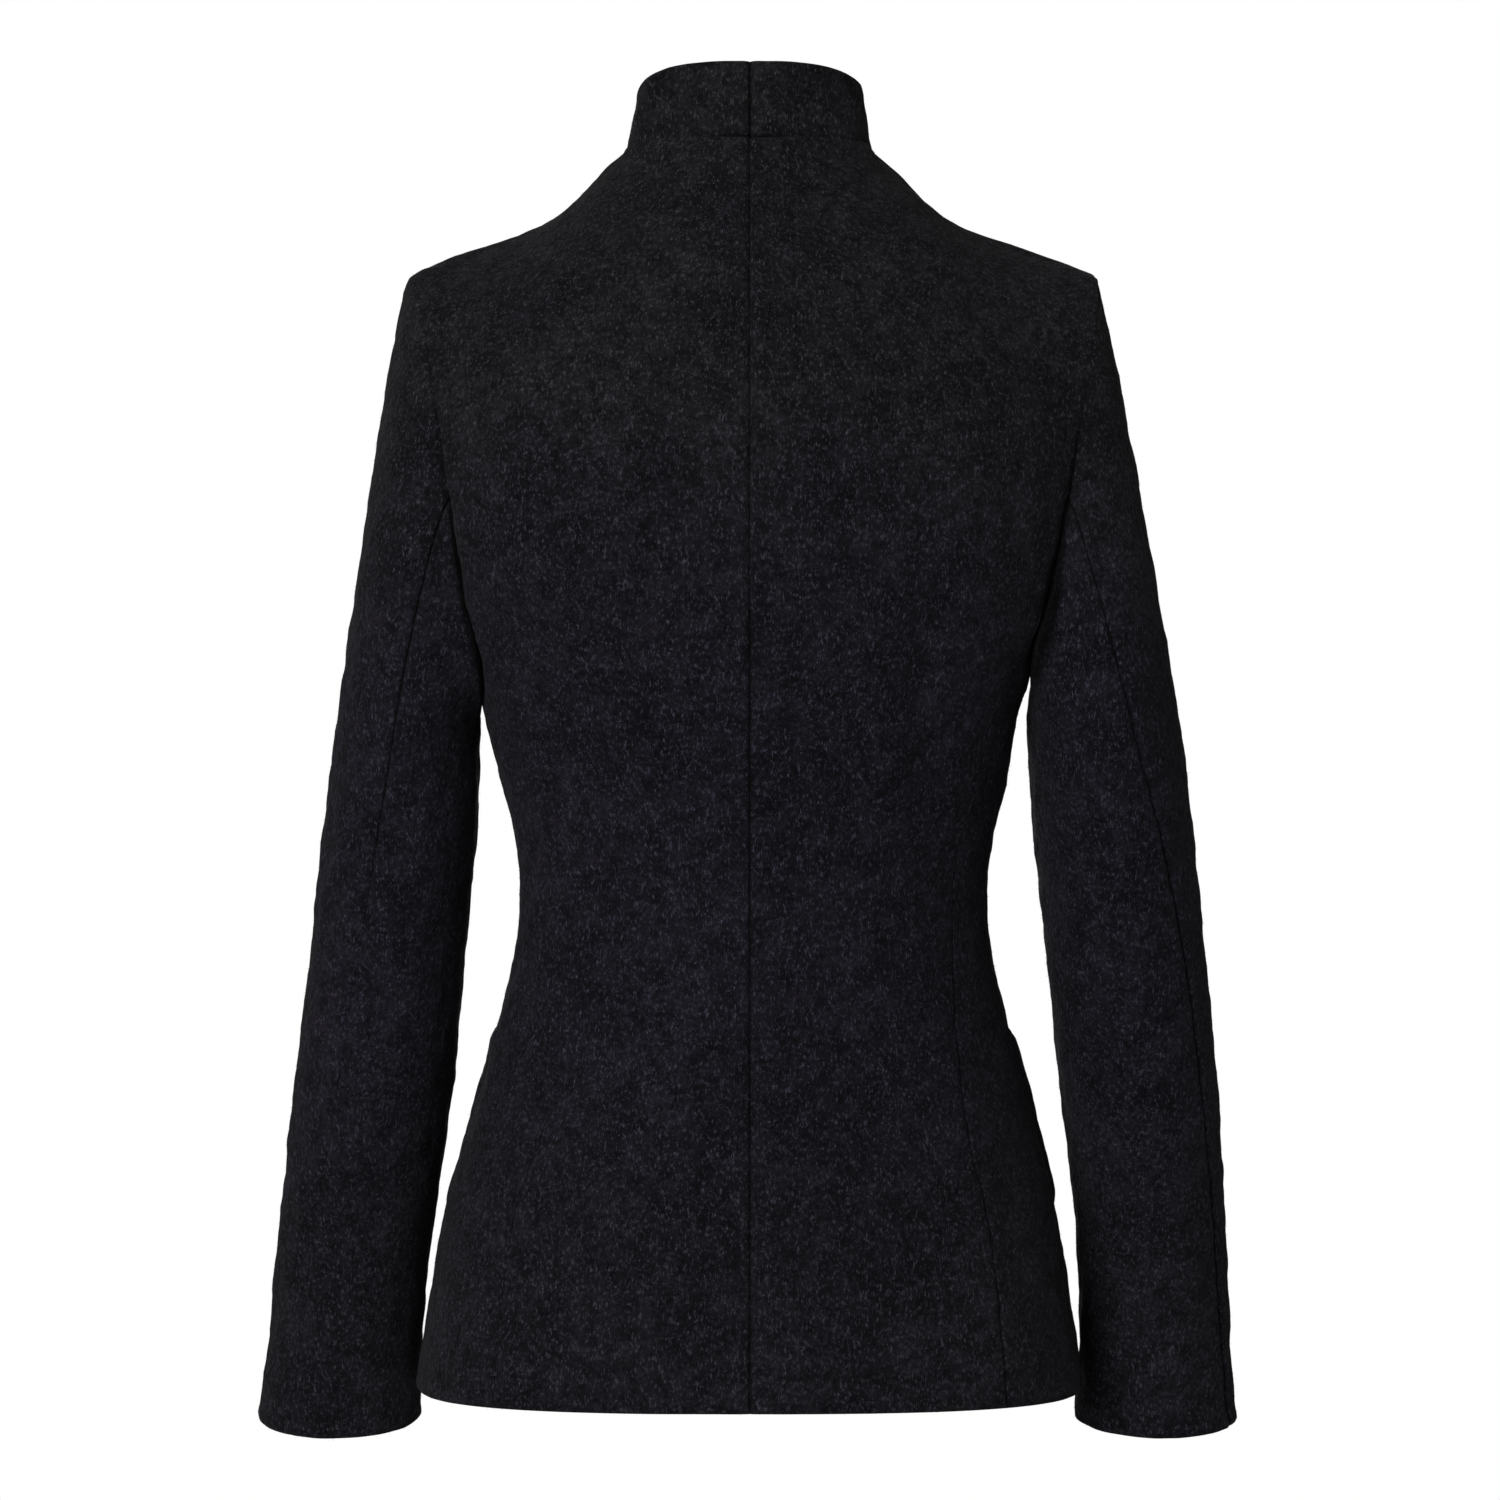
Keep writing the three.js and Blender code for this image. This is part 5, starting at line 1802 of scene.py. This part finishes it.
@dataclass
class Buttons:
    """The buttons down the centre front, with their thread and buttonholes."""

    count: int = 5
    top_z: float = -90.0
    pitch: float = 95.0
    radius: float = 11.0
    thickness: float = 3.2
    rim: float = 2.2
    dish: float = 0.8
    dish_slope: float = 0.7
    rounding: float = 0.55
    hole_radius: float = 1.1
    hole_offset: float = 2.6
    strand_radius: float = 0.4
    strand_apart: float = 0.38
    strand_rise: float = 0.25
    strand_past: float = 0.8
    bend_from: float = 0.75  # the share of the way to a hole at which a strand bends down
    bend: float = 2.4
    gap: float = 0.4
    row_reach: float = 0.5
    samples: int = 4001  # places down the front among which a button's row is found
    horn: HornFinish = field(default_factory=HornFinish)
    thread: ThreadFinish = field(default_factory=ThreadFinish)

    def build(self) -> None:
        """Models one button and one set of stitches, and copies them to their places."""
        button, stitches = self._button(), self._stitches()
        for i, (seat, out, row) in enumerate(self._seats()):
            turn = Vector((0, 0, 1)).rotation_difference(Vector(out)).to_matrix().to_4x4()
            place = Matrix.Translation(Vector(seat * MM)) @ turn
            name = f"button_{i + 1}"
            disc = self._copy(button, f"{name}_disc", place)
            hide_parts(name)
            dress(disc, self.horn.material())
            dress(self._copy(stitches, f"{name}_stitches", place), self.thread.material())
            dress(Buttonhole().build(f"{name}_hole", row), self.thread.material())
            LOG.info("%s: %d faces", name, len(disc.data.polygons))
        for pattern in (button, stitches):
            bpy.data.objects.remove(pattern)

    def _seats(self) -> list[tuple[Array, Array, float]]:
        """The place, outward direction and row of each button."""
        surface = LappedFront(RIGHT)
        limits = (Front.columns, ROWS)
        centre = np.array(LAP_COLUMNS / 2)
        rows = np.linspace(0, ROWS, self.samples)
        heights = surface(np.full(rows.shape, float(centre)), rows)[:, 2]
        seats = []
        for i in range(self.count):
            row = float(np.interp(self.top_z - i * self.pitch, heights, rows))
            out = outward(surface, limits, centre, np.array(row), RIGHT.sign)
            seat = surface(centre, np.array(row))
            rims = [surface(centre, np.array(row + end * self.row_reach)) for end in (-1, 1)]
            clear = max(0.0, *(float((rim - seat) @ out) for rim in rims))
            seats.append((seat + out * (self.gap + clear), out, row))
        return seats

    def _button(self) -> bpy.types.Object:
        """One button at the origin, facing up: a disc with a rim, a shallow dish and four holes."""
        disc = self._peg(64, self.radius, self.thickness, (0, 0, self.thickness / 2))
        disc.name = "button_pattern"
        with editing():
            bpy.ops.mesh.select_mode(type="FACE")
            bpy.ops.mesh.select_all(action="DESELECT")
        for face in disc.data.polygons:
            face.select = face.normal.z > 0.9
        with editing():
            bpy.ops.mesh.inset(thickness=self.rim * MM)
            bpy.ops.mesh.inset(thickness=self.dish_slope * MM)
            bpy.ops.transform.translate(value=(0, 0, -self.dish * MM))
        round_off(disc, self.rounding * MM, 3, 35)
        for x, y in self._hole_places():
            cutter = self._peg(20, self.hole_radius, 10, (x, y, 0))
            cut = disc.modifiers.new("hole", "BOOLEAN")
            cut.operation = "DIFFERENCE"
            cut.solver = "EXACT"
            cut.object = cutter
            bpy.context.view_layer.objects.active = disc
            bpy.ops.object.modifier_apply(modifier=cut.name)
            bpy.data.objects.remove(cutter)
        bpy.ops.object.select_all(action="DESELECT")
        disc.select_set(True)
        bpy.context.view_layer.objects.active = disc
        bpy.ops.object.shade_smooth_by_angle(angle=math.radians(30))
        return disc

    @staticmethod
    def _peg(
        corners: int, radius: float, length: float, place: Point, turn: Point = (0, 0, 0)
    ) -> bpy.types.Object:
        """A round peg, whose place and turn are in its mesh. Sizes are in millimetres."""
        bpy.ops.object.select_all(action="DESELECT")
        location = tuple(value * MM for value in place)
        bpy.ops.mesh.primitive_cylinder_add(
            vertices=corners, radius=radius * MM, depth=length * MM, location=location, rotation=turn
        )
        bpy.ops.object.transform_apply(location=True, rotation=True, scale=True)
        return bpy.context.object

    def _hole_places(self) -> list[tuple[float, float]]:
        """The middles of the four holes."""
        reach = self.hole_offset * math.cos(math.pi / 4)
        return [(reach * x, reach * y) for x, y in ((1, 1), (-1, 1), (-1, -1), (1, -1))]

    def _stitches(self) -> bpy.types.Object:
        """Two pairs of thread strands across the dish, down through the holes."""
        strands = []
        top = self.thickness - self.dish + self.strand_rise
        (x, y), *_ = self._hole_places()
        length = 2 * x + self.strand_past
        for sign in (-1, 1):
            for shift in (-self.strand_apart, self.strand_apart):
                place = (0, sign * y + shift, top)
                strand = self._peg(12, self.strand_radius, length, place, (0, math.pi / 2, 0))
                with editing():
                    bpy.ops.mesh.subdivide(number_cuts=6)
                for vertex in strand.data.vertices:
                    share = abs(vertex.co.x) / (x * MM)
                    vertex.co.z -= max(0.0, share - self.bend_from) * self.bend * MM
                strands.append(strand)
        bpy.ops.object.select_all(action="DESELECT")
        for strand in strands:
            strand.select_set(True)
        bpy.context.view_layer.objects.active = strands[0]
        bpy.ops.object.join()
        joined = bpy.context.object
        joined.name = "stitches_pattern"
        bpy.ops.object.shade_smooth()
        return joined

    @staticmethod
    def _copy(pattern: bpy.types.Object, name: str, place: Matrix) -> bpy.types.Object:
        """A copy with a mesh of its own, whose place is in the mesh."""
        piece = bpy.data.objects.new(name, pattern.data.copy())
        piece.data.transform(place)
        bpy.context.scene.collection.objects.link(piece)
        return piece


@dataclass(frozen=True)
class Buttonhole:
    """A purled slit under a button, which shows on the side away from the front's edge."""

    start: float = 4.0
    length: float = 25.0
    end_inset: float = 1.3
    straightness: float = 1.6
    half_slit: tuple[float, float] = (1.1, 0.75)  # from the middle line to the purl's, along and across
    purl: float = 0.55
    purl_rise: float = 0.5
    rise: float = 0.1
    knot: float = 0.22
    knots: int = 44
    around: int = 88
    ring: int = 8
    samples: int = 2001  # places across the front among which the slit's are found

    def build(self, name: str, row: float) -> bpy.types.Object:
        """The purl, round a slit in the right front at a row."""
        turn = np.linspace(0, 2 * math.pi, self.around, endpoint=False)[:, None]
        roll = np.linspace(0, 2 * math.pi, self.ring, endpoint=False)[None, :]
        knots = 1 + self.knot * np.cos(turn * self.knots)
        swell = self.purl * np.cos(roll) * knots
        along = np.clip(np.cos(turn) * self.straightness, -1, 1) * (self.length / 2 - self.end_inset)
        x = self.start - self.length / 2 + along
        x = x + np.cos(turn) * (self.half_slit[0] + swell)
        up = np.sin(turn) * (self.half_slit[1] + swell)
        rise = self.rise + self.purl_rise * np.sin(roll) * knots
        x, up, rise = np.broadcast_arrays(x, up, rise)
        surface = LappedFront(RIGHT)
        columns = np.linspace(0, Front.columns, self.samples)
        across = surface(columns, np.full(columns.shape, row))
        u = np.interp(-x, -across[:, 0], columns)
        v = np.full(u.shape, row)
        out = outward(surface, (Front.columns, ROWS), u, v, RIGHT.sign)
        where = surface(u, v) + out * rise[..., None]
        where[..., 2] += up
        at = np.arange(self.around * self.ring).reshape(self.around, self.ring)
        on, over = np.roll(at, -1, axis=0), np.roll(at, -1, axis=1)
        faces = np.stack((at, on, np.roll(on, -1, axis=1), over), -1).reshape(-1, 4)
        return link(name, where.reshape(-1, 3) * MM, faces)


# ---------------------------------------------------------------- floor, light and camera


@dataclass(frozen=True)
class SoftBox:
    """A soft light that faces the jacket's middle: its place, size, power in watts and colour."""

    name: str
    place: Point
    size: float
    power: float
    colour: Point = (1, 1, 1)


@dataclass
class Studio:
    """A plain pale floor that rises all round, soft lights and the camera."""

    middle: Point = (0.0, 0.0, -0.325)
    floor_z: float = -0.80
    floor_noise: Noise = Noise(1.5, rough=0.5)
    floor_range: tuple[float, float] = (0.2, 0.8)
    floor_tones: tuple[float, float] = (0.52, 0.56)
    floor_roughness: float = 0.9
    floor_specular: float = 0.1
    radius: float = 6.0
    height: float = 4.5
    sweep: float = 1.8
    distance: float = 2.5
    view_width: float = 0.81
    sensor: float = 36.0
    surround: float = 0.09
    lights: tuple[SoftBox, ...] = (
        SoftBox("key", (1.8, 4.15, 0.6), 2.0, 152, (1, 0.985, 0.98)),
        SoftBox("top", (0.3, 1.3, 2.4), 1.6, 9, (1, 1.0, 0.85)),
        SoftBox("rim_left", (2.4, -1.6, 0.6), 1.2, 2, (1, 0.86, 0.88)),
        SoftBox("rim_right", (-2.4, -1.2, 0.3), 1.0, 2, (1, 0.8, 0.85)),
        SoftBox("front", (0.2, -4.0, 0.5), 2.0, 55),
    )

    def build(self) -> None:
        """Makes the floor, the lights and the camera."""
        self._floor()
        for light in self.lights:
            self._light(light)
        self._world()
        self._camera()

    def _floor(self) -> None:
        """A wide round floor with a raised wall, joined by a wide round."""
        bpy.ops.object.select_all(action="DESELECT")
        bpy.ops.mesh.primitive_circle_add(
            vertices=96, radius=self.radius, fill_type="NGON", location=(0, 0, self.floor_z)
        )
        floor = bpy.context.object
        floor.name = "floor"
        bpy.ops.object.transform_apply(location=True, rotation=True, scale=True)
        with editing():
            bpy.ops.mesh.select_all(action="SELECT")
            bpy.ops.mesh.extrude_edges_move(TRANSFORM_OT_translate={"value": (0, 0, self.height)})
        round_off(floor, self.sweep, 10, 40)
        bpy.ops.object.shade_smooth()
        material = bpy.data.materials.new("pale_floor")
        material.use_nodes = True
        nodes = NodeTree(material.node_tree)
        shader = material.node_tree.nodes["Principled BSDF"]
        tone = nodes.rescale(nodes.noise(nodes.place(), self.floor_noise), *self.floor_range)
        dark, pale = ((grey, grey, grey, 1) for grey in self.floor_tones)
        nodes.join(nodes.blend(tone, dark, pale), shader.inputs["Base Color"])
        shader.inputs["Roughness"].default_value = self.floor_roughness
        shader.inputs["Specular IOR Level"].default_value = self.floor_specular
        self._glow(nodes, shader.outputs["BSDF"], material.node_tree.nodes["Material Output"])
        floor.data.materials.append(material)

    @staticmethod
    def _glow(nodes: NodeTree, dull: Socket, output: bpy.types.Node) -> None:
        """Lets a surface look evenly white, and light the jacket as its own shader does."""
        white = nodes.add("ShaderNodeEmission")
        seen = nodes.add("ShaderNodeLightPath").outputs["Is Camera Ray"]
        both = nodes.add("ShaderNodeMixShader")
        nodes.join(seen, both.inputs["Fac"])
        nodes.join(dull, both.inputs[1])
        nodes.join(white.outputs["Emission"], both.inputs[2])
        nodes.join(both.outputs["Shader"], output.inputs["Surface"])

    def _light(self, light: SoftBox) -> None:
        """A square area light that faces the jacket."""
        data = bpy.data.lights.new(light.name, "AREA")
        data.shape = "SQUARE"
        data.size = light.size
        data.energy = light.power
        data.color = light.colour
        lamp = bpy.data.objects.new(light.name, data)
        place = Vector(light.place)
        lamp.location = place
        lamp.rotation_euler = (Vector(self.middle) - place).to_track_quat("-Z", "Y").to_euler()
        bpy.context.scene.collection.objects.link(lamp)

    def _world(self) -> None:
        """An even pale surround."""
        world = bpy.data.worlds.new("surround")
        world.use_nodes = True
        shade, output = (world.node_tree.nodes[name] for name in ("Background", "World Output"))
        shade.inputs["Color"].default_value = (1, 1, 1, 1)
        shade.inputs["Strength"].default_value = self.surround
        self._glow(NodeTree(world.node_tree), shade.outputs["Background"], output)
        bpy.context.scene.world = world
        bpy.context.scene.view_settings.view_transform = "Standard"

    def _camera(self) -> None:
        """A level camera behind the jacket, whose square view is as wide as view_width at the origin."""
        data = bpy.data.cameras.new("camera")
        data.sensor_width = self.sensor
        data.lens = data.sensor_width * self.distance / self.view_width
        camera = bpy.data.objects.new("camera", data)
        x, y, z = self.middle
        camera.location = (x, y + self.distance, z)
        camera.rotation_euler = (math.pi / 2, 0, math.pi)
        bpy.context.scene.collection.objects.link(camera)
        bpy.context.scene.camera = camera


def main() -> None:
    """Builds the jacket, its buttons and the studio."""
    logging.basicConfig(level=logging.INFO, format="%(name)s: %(message)s")
    Studio().build()
    Jacket().build()
    Buttons().build()


if __name__ == "__main__":
    main()
